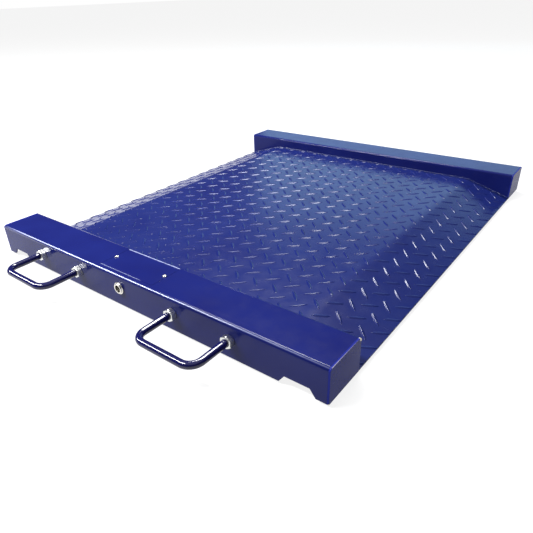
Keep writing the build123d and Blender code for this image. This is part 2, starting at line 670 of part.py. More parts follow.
def foot_pad():
    """Moulded pad: flat sole, sloping shoulder and a collar round the ball."""
    profile = [(0, -FLOOR_GAP), (PAD_D / 2 - PAD_EDGE, -FLOOR_GAP), (PAD_D / 2, -FLOOR_GAP + PAD_EDGE),
               (PAD_D / 2, -FLOOR_GAP + PAD_RIM_H), (PAD_COLLAR_D / 2, PAD_TOP - PAD_COLLAR_H),
               (PAD_COLLAR_D / 2, PAD_TOP), (0, PAD_TOP)]
    face = Plane.XZ * make_face(Polyline(*profile, close=True))
    pad = Pos(FOOT_X, RAIL_MID, 0) * revolve(face, Axis.Z, 360)
    pad -= Pos(FOOT_X, RAIL_MID, BALL_Z) * Sphere(BALL_D / 2)
    return pad - rod((FOOT_X, RAIL_MID, BALL_Z), (FOOT_X, RAIL_MID, PAD_TOP), BALL_D - PAD_LIP)


def lock_nut():
    """Nut that locks the stud against the cell."""
    ends = (FOOT_X, RAIL_MID, CELL_BOTTOM), (FOOT_X, RAIL_MID, CELL_BOTTOM - LOCK_NUT_H)
    return hexagon(*ends, LOCK_NUT_AF, NUT_CHAMFER) - rod(*ends, STUD_D + 2 * STUD_FIT)


# ---------------------------------------------------------------------------
# Wheels on the rear rail
# ---------------------------------------------------------------------------
def turned_on_axle(profile, x):
    """Ring turned about the wheel's axle from (along axle, radius) points."""
    plane = Plane(origin=(x, WHEEL_Y, WHEEL_Z), x_dir=(1, 0, 0), z_dir=(0, -1, 0))
    face = plane * make_face(Polyline(*profile, close=True))
    return revolve(face, Axis((x, WHEEL_Y, WHEEL_Z), (1, 0, 0)), 360)


def wheel_hub(x):
    """Dished hub with a boss that runs on the axle."""
    half, bore = HUB_WIDTH / 2, AXLE_D / 2 + AXLE_FIT
    rim, boss, web = TYRE_WIDTH / 2, HUB_BOSS_D / 2, TYRE_WIDTH / 2 - HUB_DISH
    lip = HUB_D / 2 - HUB_DISH
    right = [(half, bore), (half, boss), (web, boss + HUB_DRAFT), (web, lip - HUB_DRAFT),
             (rim, lip), (rim, HUB_D / 2)]
    left = [(-a, r) for a, r in reversed(right)]
    return turned_on_axle(right + left, x)


def wheel_tyre(x):
    """Rubber tyre with rounded shoulders."""
    half, outer, inner = TYRE_WIDTH / 2, WHEEL_D / 2, HUB_D / 2
    crown = half - TYRE_CROWN
    return turned_on_axle([(half, inner), (half, outer - TYRE_CROWN), (crown, outer),
                           (-crown, outer), (-half, outer - TYRE_CROWN), (-half, inner)], x)


def wheel_bracket(x):
    """Bolted base plate with two cheeks that carry the axle."""
    y0, y1 = OVERALL_DEPTH, OVERALL_DEPTH + BRACKET_WALL
    half_l, half_h = BRACKET_LENGTH / 2, BRACKET_HEIGHT / 2
    bracket = box(x - half_l, x + half_l, y0, y1, WHEEL_Z - half_h, WHEEL_Z + half_h)
    for side in (-1, 1):
        xa = x + side * BRACKET_INNER
        xb = xa + side * BRACKET_WALL
        x_low, x_high = min(xa, xb), max(xa, xb)
        cheek = box(x_low, x_high, y1, WHEEL_Y, WHEEL_Z - CHEEK_HEIGHT / 2, WHEEL_Z + CHEEK_HEIGHT / 2)
        cheek += rod((x_low, WHEEL_Y, WHEEL_Z), (x_high, WHEEL_Y, WHEEL_Z), CHEEK_HEIGHT)
        bracket += cheek
    reach = BRACKET_INNER + BRACKET_WALL
    bracket -= rod((x - reach, WHEEL_Y, WHEEL_Z), (x + reach, WHEEL_Y, WHEEL_Z), AXLE_D)
    for bx, bz in bracket_bolt_points():
        if abs(bx - x) < half_l:
            bracket -= rod((bx, y0, bz), (bx, y1, bz), BRACKET_BOLT_D)
    return bracket


def wheel_axle(x):
    """Hexagon bolt through both cheeks."""
    reach = BRACKET_INNER + BRACKET_WALL
    shank = rod((x - reach, WHEEL_Y, WHEEL_Z), (x + reach + LOCK_NUT_H + AXLE_END, WHEEL_Y, WHEEL_Z), AXLE_D)
    head = hexagon((x - reach, WHEEL_Y, WHEEL_Z), (x - reach - LOCK_NUT_H, WHEEL_Y, WHEEL_Z),
                   LOCK_NUT_AF, NUT_CHAMFER)
    return shank + head


def wheel_axle_nut(x):
    """Nut on the axle bolt's end."""
    seat = x + BRACKET_INNER + BRACKET_WALL
    ends = (seat, WHEEL_Y, WHEEL_Z), (seat + LOCK_NUT_H, WHEEL_Y, WHEEL_Z)
    return hexagon(*ends, LOCK_NUT_AF, NUT_CHAMFER) - rod(*ends, AXLE_D)


def bracket_bolts():
    """Hexagon bolts through both brackets and the rear rail's wall."""
    seat = OVERALL_DEPTH + BRACKET_WALL
    bolts = []
    for x, z in bracket_bolt_points():
        bolt = rod((x, seat - BRACKET_BOLT_GRIP, z), (x, seat, z), BRACKET_BOLT_D)
        bolt += hexagon((x, seat, z), (x, seat + BRACKET_BOLT_H, z), BRACKET_BOLT_AF, NUT_CHAMFER / 2)
        bolts.append(bolt)
    return bolts


# ---------------------------------------------------------------------------
# Cables held inside the frame
# ---------------------------------------------------------------------------
def cable(points):
    """Round cable along straight runs joined by arcs as large as the shorter run allows."""
    route = [Vector(*p) for p in points]
    radii = []
    for before, at, after in zip(route, route[1:], route[2:]):
        turn = math.radians((at - before).get_angle(after - at))
        shorter = min((at - before).length, (after - at).length)
        radii.append(CABLE_BEND_SHARE * shorter / math.tan(turn / 2))
    print("  arc radii", [round(r, 1) for r in radii])
    path = FilletPolyline(*route, radius=radii)
    section = Plane(origin=route[0], z_dir=(route[1] - route[0]).normalized()) * Circle(CABLE_D / 2)
    tube = sweep(section, path=path)
    ideal = math.pi * CABLE_D ** 2 / 4 * path.length
    print(f"  length {path.length:.1f}, volume ratio {tube.volume / ideal:.5f}")
    return tube


def cell_lead(side, y):
    """A cell cable's first two points: the boss it leaves by and the end of its straight lead."""
    start = CELL_FIXED_X + CELL_EXIT_LENGTH
    ends = (start, start + CABLE_LEAD)
    return [(x if side == "left" else RAIL_LENGTH - x, y, CELL_MID_Z) for x in ends]


def front_route(side, tip, gland_y):
    """Front cell's cable: straight out, a slant towards its gland, then square into it."""
    lead = cell_lead(side, RAIL_MID)
    x, y, z = lead[-1]
    slant = (x + (tip - x) * FRONT_SLANT, y + (gland_y - y) * FRONT_SLANT_SIDE,
             z + (GLAND_Z - z) * FRONT_SLANT_SIDE)
    return [*lead, slant, (x + (tip - x) * FRONT_SQUARE, gland_y, GLAND_Z), (tip, gland_y, GLAND_Z)]


def rear_route(side, gland_y):
    """Rear cell's cable: along the rear rail, through its lane of the conduit, then up to its gland."""
    way = -1 if side == "left" else 1
    lane = CONDUIT_X + way * LANE
    aside, down = REAR_SAG
    return [*cell_lead(side, REAR_MID), (lane + way * REAR_DROP, REAR_MID - aside, CELL_MID_Z - down),
            (lane, REAR_MID, CONDUIT_Z), (lane, gland_y, CONDUIT_Z),
            (GLAND_RIGHT + GLAND_RISE[side], gland_y, GLAND_Z), (GLAND_RIGHT, gland_y, GLAND_Z)]


def output_route():
    """Output lead: out of its gland, round to the front and into the socket's tail."""
    corner_x = GLAND_LEFT - OUTPUT_REACH
    return [(GLAND_LEFT, GLAND_Y[0], GLAND_Z), (corner_x, GLAND_Y[0], GLAND_Z),
            (corner_x, SOCKET_BEND_Y, GLAND_Z + OUTPUT_STEP), (SOCKET_X, SOCKET_BEND_Y, SOCKET_Z),
            (SOCKET_X, SOCKET_TAIL_END, SOCKET_Z)]


CABLES = {
    "front_left": front_route("left", GLAND_LEFT, GLAND_Y[2]),
    "front_right": front_route("right", GLAND_RIGHT, GLAND_Y[2]),
    "rear_left": rear_route("left", GLAND_Y[1]),
    "rear_right": rear_route("right", GLAND_Y[0]),
    "output": output_route(),
}


# ---------------------------------------------------------------------------
# Nodes
# ---------------------------------------------------------------------------
emit("front_rail", front_rail())
emit("rear_rail", rear_rail())
for corner in CORNERS:
    emit(f"{corner}_end_plate", at_corner(end_plate(), corner))
emit("deck_plate", deck_plate())
for place, bar_x in CROSSBAR_X.items():
    emit(f"crossbar_{place}", crossbar(bar_x))
emit("ramp_ribs_left", *ramp_ribs())
emit("ramp_ribs_right", *[mirror_ends(rib) for rib in ramp_ribs()])
emit("cable_conduit", cable_conduit())

for side, middle in HANDLES.items():
    emit(f"{side}_handle", handle(middle))
emit("handle_outer_nuts", *handle_nuts(0, -NUT16_H))
emit("handle_inner_nuts", *handle_nuts(RAIL_WALL, RAIL_WALL + NUT16_H))

emit("access_cover", access_cover())
emit("cover_frame", cover_frame())
emit("cover_screws", *[pan_screw(x, y, RAIL_HEIGHT, COVER_SCREW_D, COVER_SCREW_HEAD, COVER_SCREW_HEAD_H,
                                 COVER_SCREW_LENGTH) for x, y in screw_points()])
emit("junction_tray", junction_tray())
emit("junction_box_body", junction_box_body())
emit("junction_box_lid", junction_box_lid())
emit("junction_box_screws", *[pan_screw(x, y, BOX_RIM + BOX_LID, BOX_SCREW_D, BOX_SCREW_HEAD, BOX_SCREW_HEAD_H,
                                        BOX_SCREW_LENGTH) for x, y in box_post_points()])
emit("junction_board", junction_board())
emit("terminal_blocks", *terminal_blocks())
emit("cable_glands", *cable_glands())

emit("socket_shell", socket_shell())
emit("socket_insert", socket_insert())
emit("socket_nut", socket_nut())

for corner in CORNERS:
    emit(f"load_cell_{corner}", at_corner(load_cell(), corner))
    emit(f"foot_stud_{corner}", at_corner(foot_stud(), corner))
    emit(f"foot_pad_{corner}", at_corner(foot_pad(), corner))
emit("cell_mount_blocks", *[at_corner(mount_block(), corner) for corner in CORNERS])
emit("load_cell_bolts", *[at_corner(bolt, corner) for corner in CORNERS for bolt in cell_bolts()])
emit("foot_lock_nuts", *[at_corner(lock_nut(), corner) for corner in CORNERS])

for side, wheel_x in WHEELS.items():
    emit(f"wheel_hub_{side}", wheel_hub(wheel_x))
    emit(f"wheel_tyre_{side}", wheel_tyre(wheel_x))
    emit(f"wheel_bracket_{side}", wheel_bracket(wheel_x))
emit("wheel_axles", *[wheel_axle(x) for x in WHEELS.values()])
emit("wheel_axle_nuts", *[wheel_axle_nut(x) for x in WHEELS.values()])
emit("bracket_bolts", *bracket_bolts())

for name, points in CABLES.items():
    emit(f"cable_{name}", cable(points))
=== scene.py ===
"""Visual model of a low platform scale: enamel, tread, welds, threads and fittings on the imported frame."""
import functools
import json
import logging
import math
from dataclasses import dataclass, replace
from enum import Enum
from typing import Callable, Iterable, Sequence

import bmesh
import bpy
from mathutils import Matrix, Vector, noise

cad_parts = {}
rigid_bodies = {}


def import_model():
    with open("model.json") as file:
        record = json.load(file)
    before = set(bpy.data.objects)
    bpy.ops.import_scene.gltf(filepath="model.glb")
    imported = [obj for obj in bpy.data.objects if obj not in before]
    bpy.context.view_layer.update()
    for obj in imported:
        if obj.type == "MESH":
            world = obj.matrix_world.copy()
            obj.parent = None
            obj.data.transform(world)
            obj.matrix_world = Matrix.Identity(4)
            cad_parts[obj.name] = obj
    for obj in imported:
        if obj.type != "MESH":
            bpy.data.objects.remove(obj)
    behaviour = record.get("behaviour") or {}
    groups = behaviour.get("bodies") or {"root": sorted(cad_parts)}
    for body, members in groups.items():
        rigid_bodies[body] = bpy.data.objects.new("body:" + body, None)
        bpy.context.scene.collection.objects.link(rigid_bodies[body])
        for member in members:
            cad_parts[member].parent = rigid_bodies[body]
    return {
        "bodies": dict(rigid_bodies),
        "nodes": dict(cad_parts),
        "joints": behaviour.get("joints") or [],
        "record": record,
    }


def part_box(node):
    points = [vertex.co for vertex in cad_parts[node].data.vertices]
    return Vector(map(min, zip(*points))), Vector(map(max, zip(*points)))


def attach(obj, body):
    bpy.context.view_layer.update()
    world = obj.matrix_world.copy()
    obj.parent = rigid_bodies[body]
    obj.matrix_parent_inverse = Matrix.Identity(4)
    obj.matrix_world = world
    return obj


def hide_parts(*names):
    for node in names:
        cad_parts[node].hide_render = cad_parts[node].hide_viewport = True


LOG = logging.getLogger("scale")
Colour = tuple[float, float, float]
Place = tuple[float, float, float]


class Corner(Enum):
    """The four corners of the platform, as the frame names them."""

    FRONT_LEFT = "front_left"
    FRONT_RIGHT = "front_right"
    REAR_LEFT = "rear_left"
    REAR_RIGHT = "rear_right"


class Side(Enum):
    """Left or right half of a pair."""

    LEFT = "left"
    RIGHT = "right"


class Axis(Enum):
    """Axes of the frame, by their place in a vector."""

    X = 0
    Y = 1
    Z = 2

    @property
    def unit(self) -> Vector:
        """Unit vector along the axis."""
        return Vector([float(place == self.value) for place in range(3)])


# ---------------------------------------------------------------------------
# Materials
# ---------------------------------------------------------------------------
class Graph:
    """One material's node tree, with short calls that add and join nodes."""

    def __init__(self, name: str) -> None:
        """Start a material with a principled shader.

        Args:
            name: the material's name.
        """
        self.material = bpy.data.materials.new(name)
        self.material.use_nodes = True
        self.tree = self.material.node_tree
        self.tree.nodes.clear()
        self.skin = self.add("ShaderNodeBsdfPrincipled")
        out = self.add("ShaderNodeOutputMaterial")
        self.join(self.skin.outputs["BSDF"], out.inputs["Surface"])
        self.place = self.add("ShaderNodeTexCoord").outputs["Object"]

    def add(self, kind: str, **settings: object) -> bpy.types.ShaderNode:
        """Add a node.

        Args:
            kind: the node's type.
            settings: properties to set on it.

        Returns:
            The new node.
        """
        node = self.tree.nodes.new(kind)
        for name, value in settings.items():
            setattr(node, name, value)
        return node

    def join(self, source: bpy.types.NodeSocket, target: bpy.types.NodeSocket) -> None:
        """Link two sockets."""
        self.tree.links.new(source, target)

    def feed(self, socket: bpy.types.NodeSocket, value: object) -> None:
        """Give a socket a link or a plain value.

        Args:
            socket: the socket to feed.
            value: another socket, or a number or colour.
        """
        if isinstance(value, bpy.types.NodeSocket):
            self.join(value, socket)
        else:
            socket.default_value = value

    def stretched(self, stretch: Place) -> bpy.types.NodeSocket:
        """Object coordinates scaled along each axis.

        Args:
            stretch: scale along X, Y and Z.

        Returns:
            The scaled coordinates.
        """
        mapping = self.add("ShaderNodeMapping")
        mapping.inputs["Scale"].default_value = stretch
        self.join(self.place, mapping.inputs["Vector"])
        return mapping.outputs["Vector"]

    def noise(self, scale: float, detail: float = 3.0, stretch: Place = (1, 1, 1)) -> bpy.types.NodeSocket:
        """Fractal noise over the piece.

        Args:
            scale: features per metre.
            detail: octaves.
            stretch: scale along X, Y and Z, for brushed or drawn surfaces.

        Returns:
            A value from 0 to 1, mostly near 0.5.
        """
        texture = self.add("ShaderNodeTexNoise")
        texture.inputs["Scale"].default_value = scale
        texture.inputs["Detail"].default_value = detail
        self.join(self.stretched(stretch), texture.inputs["Vector"])
        return texture.outputs["Fac"]

    def cells(self, scale: float) -> bpy.types.NodeSocket:
        """Distance to the nearest of many scattered points.

        Args:
            scale: points per metre.

        Returns:
            The distance, as a share of the points' spacing.
        """
        texture = self.add("ShaderNodeTexVoronoi")
        texture.inputs["Scale"].default_value = scale
        self.join(self.place, texture.inputs["Vector"])
        return texture.outputs["Distance"]

    def spread(self, value: object, start: float, end: float, low: float = 0.0, high: float = 1.0
               ) -> bpy.types.NodeSocket:
        """Map a value from one range to another, clamped.

        Args:
            value: the input socket.
            start: input that gives low.
            end: input that gives high.
            low: lowest output.
            high: highest output.

        Returns:
            The mapped value.
        """
        node = self.add("ShaderNodeMapRange")
        for name, number in (("From Min", start), ("From Max", end), ("To Min", low), ("To Max", high)):
            node.inputs[name].default_value = number
        self.feed(node.inputs["Value"], value)
        return node.outputs["Result"]

    def calc(self, operation: str, a: object, b: object) -> bpy.types.NodeSocket:
        """Arithmetic on two values.

        Args:
            operation: the math node's operation.
            a: first number or socket.
            b: second number or socket.

        Returns:
            The result.
        """
        node = self.add("ShaderNodeMath", operation=operation)
        self.feed(node.inputs[0], a)
        self.feed(node.inputs[1], b)
        return node.outputs[0]

    def blend(self, factor: object, base: object, other: object) -> bpy.types.NodeSocket:
        """Mix two colours.

        Args:
            factor: share of the other colour.
            base: colour or socket at 0.
            other: colour or socket at 1.

        Returns:
            The mixed colour.
        """
        node = self.add("ShaderNodeMix", data_type="RGBA")
        self.feed(node.inputs["Factor"], factor)
        for socket, value in ((node.inputs[6], base), (node.inputs[7], other)):
            self.feed(socket, (*value, 1.0) if isinstance(value, tuple) else value)
        return node.outputs[2]

    def near(self, spot: Place, radius: float) -> bpy.types.NodeSocket:
        """Ragged mask round a point.

        Args:
            spot: the point.
            radius: how far the mask reaches, in metres.

        Returns:
            1 inside and 0 outside.
        """
        away = self.add("ShaderNodeVectorMath", operation="DISTANCE")
        self.join(self.place, away.inputs[0])
        away.inputs[1].default_value = spot
        ragged = self.calc("MULTIPLY", self.noise(420.0, 4.0), radius)
        edge = self.calc("SUBTRACT", self.calc("ADD", radius * 0.5, ragged), away.outputs["Value"])
        return self.spread(edge, 0.0, radius * 0.12)

    def relief(self, heights: Sequence[tuple[object, float]]) -> None:
        """Chain bumps into the shader's normal.

        Args:
            heights: pairs of a height socket from 0 to 1 and its depth in metres.
        """
        normal = None
        for height, depth in heights:
            bump = self.add("ShaderNodeBump")
            bump.inputs["Strength"].default_value = 1.0
            bump.inputs["Distance"].default_value = depth
            self.feed(bump.inputs["Height"], height)
            if normal is not None:
                self.join(normal, bump.inputs["Normal"])
            normal = bump.outputs["Normal"]
        self.join(normal, self.skin.inputs["Normal"])


@dataclass(frozen=True)
class Finish:
    """A surface finish: its colours, gloss and fine relief.

    The colour drifts between colour and shade in patches, and the grain moves the gloss and the surface.
    """

    slot: str
    colour: Colour
    shade: Colour
    roughness: float
    roughness_span: float = 0.06
    metallic: float = 0.0
    patch_scale: float = 9.0
    grain_scale: float = 900.0
    grain_depth: float = 0.00002
    stretch: Place = (1.0, 1.0, 1.0)
    specular: float = 0.5

    def tint(self, graph: Graph) -> bpy.types.NodeSocket:
        """Colour over the piece."""
        patches = graph.spread(graph.noise(self.patch_scale, 5.0), 0.35, 0.7)
        return graph.blend(patches, self.colour, self.shade)

    def gloss(self, graph: Graph) -> bpy.types.NodeSocket:
        """Roughness over the piece."""
        low, high = self.roughness - self.roughness_span, self.roughness + self.roughness_span
        return graph.spread(graph.noise(self.patch_scale * 4, 6.0, self.stretch), 0.3, 0.7, low, high)

    def heights(self, graph: Graph) -> list[tuple[object, float]]:
        """Height sockets and their depths in metres."""
        return [(graph.noise(self.grain_scale, 2.0, self.stretch), self.grain_depth)]

    def dress(self, graph: Graph) -> None:
        """Join tint, gloss, metal and relief to the shader.

        Args:
            graph: the material to dress.
        """
        graph.feed(graph.skin.inputs["Base Color"], self.tint(graph))
        graph.feed(graph.skin.inputs["Roughness"], self.gloss(graph))
        graph.skin.inputs["Metallic"].default_value = self.metallic
        graph.skin.inputs["Specular IOR Level"].default_value = self.specular
        graph.relief(self.heights(graph))


@dataclass(frozen=True)
class Wear:
    """How strongly a pale line is painted along an edge: full strength within core, none past reach, and a
    fade at each end.
    """

    core: float
    reach: float
    strength: float
    lead_in: float
    lead_out: float


@dataclass(frozen=True)
class PaleEdgeLine:
    """Stretch of an edge painted pale: a painted highlight on the front rail's bend and on the cover's seams,
    and a pale line along the front right end's top edge.

    The edge lies along one axis, through the point given by the other two coordinates in order.
    """

    through: tuple[float, float]
    start: float
    end: float
    wear: Wear
    along: Axis = Axis.X

    def mask(self, graph: Graph) -> bpy.types.NodeSocket:
        """Mask that is strongest on the edge and fades toward both ends.

        Args:
            graph: the material that the mask is for.

        Returns:
            The mask, from 0 to the wear's strength.
        """
        split = graph.add("ShaderNodeSeparateXYZ")
        graph.join(graph.place, split.inputs["Vector"])
        run = split.outputs[self.along.value]
        across = [axis for axis in Axis if axis is not self.along]
        offsets = [graph.calc("SUBTRACT", split.outputs[axis.value], value)
                   for axis, value in zip(across, self.through)]
        squares = [graph.calc("MULTIPLY", offset, offset) for offset in offsets]
        away = graph.calc("SQRT", graph.calc("ADD", *squares), 0.0)
        wear = self.wear
        line = graph.spread(away, wear.core, wear.reach, wear.strength, 0.0)
        rise = graph.spread(run, self.start - 0.001, self.start + wear.lead_in)
        fall = graph.spread(run, self.end - wear.lead_out, self.end + 0.001, 1.0, 0.0)
        # The line's strength wavers along it; on the front rail's bend and the cover's seams the line is a
        # painted highlight.
        painted_streaks = graph.spread(graph.noise(55.0, 4.0), 0.25, 0.6, 0.7, 1.0)
        return graph.calc("MULTIPLY", graph.calc("MULTIPLY", line, painted_streaks), graph.calc("MULTIPLY", rise, fall))


@dataclass(frozen=True)
class Enamel(Finish):
    """Sprayed gloss enamel: orange peel, slight waviness, specks, chips to bare steel, and pale lines along
    edges, which on the front rail are painted highlights.
    """

    peel_scale: float = 240.0
    peel_depth: float = 0.00003
    wave_scale: float = 5.0
    wave_depth: float = 0.0004
    chips: tuple[tuple[Place, float], ...] = ()
    bare: Colour = (0.62, 0.58, 0.44)
    pale_lines: tuple[PaleEdgeLine, ...] = ()
    # Colour of the pale lines; on the front rail's bend and the cover's seams it is a painted highlight.
    pale: Colour = (0.50, 0.55, 0.78)

    def tint(self, graph: Graph) -> bpy.types.NodeSocket:
        """Enamel colour, paler along its pale lines, which on the front rail are painted highlights.

        Args:
            graph: the material to tint.

        Returns:
            The colour.
        """
        colour = super().tint(graph)
        for pale_line in self.pale_lines:
            colour = graph.blend(pale_line.mask(graph), colour, self.pale)
        return colour

    def heights(self, graph: Graph) -> list[tuple[object, float]]:
        """Waviness, orange peel and specks.

        Args:
            graph: the material to shape.

        Returns:
            Height sockets and their depths in metres.
        """
        specks = graph.spread(graph.cells(160.0), 0.0, 0.09, 1.0, 0.0)
        return [(graph.noise(self.wave_scale, 1.0), self.wave_depth),
                (graph.noise(self.peel_scale, 1.5), self.peel_depth), (specks, self.peel_depth)]

    def dress(self, graph: Graph) -> None:
        """Enamel, with bare metal where it is chipped.

        Args:
            graph: the material to dress.
        """
        super().dress(graph)
        mask = None
        for spot, radius in self.chips:
            one = graph.near(spot, radius)
            mask = one if mask is None else graph.calc("MAXIMUM", mask, one)
        if mask is not None:
            skin = graph.skin.inputs
            graph.feed(skin["Base Color"], graph.blend(mask, self.tint(graph), self.bare))
            graph.feed(skin["Metallic"], graph.calc("MULTIPLY", mask, 0.7))
            gloss = self.gloss(graph)
            graph.feed(skin["Roughness"], graph.calc("MAXIMUM", gloss, graph.calc("MULTIPLY", mask, 0.5)))


@dataclass(frozen=True)
class Plated(Finish):
    """Plated or polished metal: cloudy plating over a drawn or turned grain."""

    metallic: float = 1.0
    cloud_scale: float = 130.0

    def tint(self, graph: Graph) -> bpy.types.NodeSocket:
        """Cloudy plating."""
        clouds = graph.spread(graph.noise(self.cloud_scale, 4.0), 0.3, 0.75)
        return graph.blend(clouds, super().tint(graph), self.shade)


@dataclass(frozen=True)
class Moulded(Finish):
    """Moulded plastic or rubber: fine spark texture, with a patchy film of dust."""

    dust: Colour = (0.16, 0.16, 0.15)
    dust_share: float = 0.12

    def tint(self, graph: Graph) -> bpy.types.NodeSocket:
        """Base colour under a thin film of dust."""
        film = graph.spread(graph.noise(self.grain_scale / 6, 6.0), 0.55, 0.8, 0.0, self.dust_share)
        return graph.blend(film, super().tint(graph), self.dust)

    def heights(self, graph: Graph) -> list[tuple[object, float]]:
        """Two sizes of spark texture."""
        return [(graph.noise(self.grain_scale, 3.0), self.grain_depth),
                (graph.noise(self.grain_scale / 5, 2.0), self.grain_depth * 2)]


@dataclass(frozen=True)
class Tracked(Finish):
    """Solder mask over copper tracks that run along the board."""

    track_pitch: float = 0.0032
    track: Colour = (0.10, 0.34, 0.14)

    def tint(self, graph: Graph) -> bpy.types.NodeSocket:
        """Lighter lines where copper lies under the mask.

        Args:
            graph: the material to tint.

        Returns:
            The colour.
        """
        wave = graph.add("ShaderNodeTexWave", wave_type="BANDS", bands_direction="Y")
        wave.inputs["Scale"].default_value = 1 / self.track_pitch / 20
        wave.inputs["Distortion"].default_value = 1.5
        graph.join(graph.place, wave.inputs["Vector"])
        return graph.blend(graph.spread(wave.outputs["Fac"], 0.62, 0.7), super().tint(graph), self.track)


@functools.cache
def material_of(finish: Finish) -> bpy.types.Material:
    """Make the finish's material, or give back the one already made.

    Args:
        finish: the finish.

    Returns:
        Its material.
    """
    graph = Graph(f"{finish.slot}_{type(finish).__name__.lower()}")
    finish.dress(graph)
    return graph.material


BLUE = (0.0050, 0.0082, 0.074)
BLUE_DEEP = (0.0038, 0.0058, 0.060)
RAIL_ENAMEL = Enamel("blue_paint", BLUE, BLUE_DEEP, 0.17, 0.03, specular=0.15)
# Painted light: a lighter, less glossy copy of the rail enamel for the end plates, so their faces look more
# brightly lit than the rail.
LIT_END_ENAMEL = replace(RAIL_ENAMEL, colour=(0.0095, 0.0145, 0.135), shade=(0.0080, 0.0118, 0.115),
                     roughness=0.26, specular=0.03)
DECK_ENAMEL = Enamel("deck_paint", (0.0055, 0.0105, 0.074), (0.0042, 0.0075, 0.064), 0.24, 0.04,
                     peel_depth=0.000012, wave_depth=0.0005, specular=0.30)
BAR_ENAMEL = replace(DECK_ENAMEL, roughness=0.20, roughness_span=0.02, specular=0.21,
                     peel_depth=0.000004, wave_depth=0.0002)
HANDLE_ENAMEL = Enamel("handle_paint", (0.0032, 0.0034, 0.046), (0.0024, 0.0024, 0.036), 0.13, 0.03,
                       wave_depth=0.0)
ZINC = Plated("zinc", (0.84, 0.85, 0.83), (0.66, 0.67, 0.64), 0.30, 0.08, grain_scale=500.0)
SCREW_STEEL = Plated("screw_steel", (0.78, 0.76, 0.70), (0.60, 0.58, 0.52), 0.26, 0.06, grain_scale=1400.0)
NICKEL = Plated("nickel", (0.80, 0.78, 0.73), (0.68, 0.66, 0.61), 0.20, 0.05, grain_scale=1600.0,
                stretch=(1.0, 6.0, 1.0))
CELL_STEEL = Plated("cell_steel", (0.66, 0.66, 0.64), (0.54, 0.54, 0.52), 0.32, 0.08, grain_scale=300.0,
                    stretch=(1.0, 14.0, 14.0))
BLACK_OXIDE = Plated("bolt_black", (0.07, 0.07, 0.075), (0.035, 0.035, 0.04), 0.42, 0.08, grain_scale=900.0)
INSERT = Moulded("insert_black", (0.012, 0.012, 0.013), (0.02, 0.02, 0.02), 0.45, 0.08, grain_depth=0.00001)
BOX_PLASTIC = Moulded("box_plastic", (0.44, 0.46, 0.47), (0.38, 0.40, 0.41), 0.48, 0.07, dust_share=0.2)
GLAND_NYLON = Moulded("gland_black", (0.02, 0.02, 0.023), (0.035, 0.035, 0.04), 0.42, 0.08)
TERMINAL = Moulded("terminal_green", (0.06, 0.30, 0.12), (0.05, 0.24, 0.10), 0.40, 0.06, dust_share=0.08)
SOLDER_MASK = Tracked("board_green", (0.02, 0.17, 0.07), (0.02, 0.14, 0.06), 0.25, 0.05)
JACKET = Moulded("cable_jacket", (0.022, 0.022, 0.025), (0.035, 0.035, 0.038), 0.48, 0.08, grain_scale=1500.0)
PAD_RUBBER = Moulded("pad_rubber", (0.020, 0.020, 0.021), (0.035, 0.034, 0.032), 0.68, 0.08,
                     grain_scale=700.0, grain_depth=0.00005, dust_share=0.3)
TYRE_RUBBER = Moulded("tyre_rubber", (0.022, 0.022, 0.022), (0.04, 0.038, 0.035), 0.72, 0.08,
                      grain_scale=600.0, grain_depth=0.00006, dust_share=0.35)
HUB_NYLON = Moulded("hub_nylon", (0.62, 0.62, 0.58), (0.54, 0.53, 0.49), 0.42, 0.07, dust_share=0.25)
SMALL_EDGE = 0.0003


# ---------------------------------------------------------------------------
# Mesh tools
# ---------------------------------------------------------------------------
def skin_faces(rows: int, ring: int, wrap_ring: bool, wrap_rows: bool) -> list[tuple[int, ...]]:
    """Quads over a grid of points.

    Args:
        rows: number of rows.
        ring: points in each row.
        wrap_ring: join each row's last point to its first.
        wrap_rows: join the last row to the first.

    Returns:
        Faces as point numbers, row by row.
    """
    faces = []
    for i in range(rows if wrap_rows else rows - 1):
        k = (i + 1) % rows
        for j in range(ring if wrap_ring else ring - 1):
            m = (j + 1) % ring
            faces.append((i * ring + j, i * ring + m, k * ring + m, k * ring + j))
    return faces


class Shape:
    """Points and faces that grow part by part and then become a piece."""

    def __init__(self) -> None:
        """Start empty."""
        self.points: list[Vector] = []
        self.faces: list[tuple[int, ...]] = []

    def grid(self, rows: Sequence[Sequence[Vector]], wrap_ring: bool = False, wrap_rows: bool = False,
             capped: bool = False) -> None:
        """Add a skinned grid.

        Args:
            rows: rows of points, all as long as each other.
            wrap_ring: close each row.
            wrap_rows: close the rows on each other.
            capped: put one face on the first and the last row.
        """
        base, ring = len(self.points), len(rows[0])
        for row in rows:
            self.points.extend(Vector(p) for p in row)
        self.faces += [tuple(base + n for n in f) for f in skin_faces(len(rows), ring, wrap_ring, wrap_rows)]
        if capped:
            last = base + (len(rows) - 1) * ring
            self.faces += [tuple(range(base, base + ring)), tuple(range(last, last + ring))]

    def piece(self, name: str, finish: Finish, body: str = "platform", sharp: float = 32.0
              ) -> bpy.types.Object:
        """Turn the shape into a piece that rides on a body.

        Args:
            name: the piece's name.
            finish: its finish.
            body: the body that carries it.
            sharp: edges over this angle, in degrees, stay sharp.

        Returns:
            The new object.
        """
        mesh = bpy.data.meshes.new(name)
        mesh.from_pydata(self.points, [], self.faces)
        build = bmesh.new()
        build.from_mesh(mesh)
        bmesh.ops.remove_doubles(build, verts=build.verts, dist=1e-7)
        bmesh.ops.dissolve_degenerate(build, edges=build.edges, dist=1e-7)
        bmesh.ops.recalc_face_normals(build, faces=build.faces)
        build.to_mesh(mesh)
        build.free()
        mesh.polygons.foreach_set("use_smooth", [True] * len(mesh.polygons))
        mesh.set_sharp_from_angle(angle=math.radians(sharp))
        mesh.materials.append(material_of(finish))
        made = bpy.data.objects.new(name, mesh)
        bpy.context.scene.collection.objects.link(made)
        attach(made, body)
        return made


def axis_frame(origin: Vector, direction: Vector) -> Matrix:
    """Matrix whose Z axis points along direction, at origin."""
    return Matrix.Translation(origin) @ direction.to_track_quat("Z", "Y").to_matrix().to_4x4()


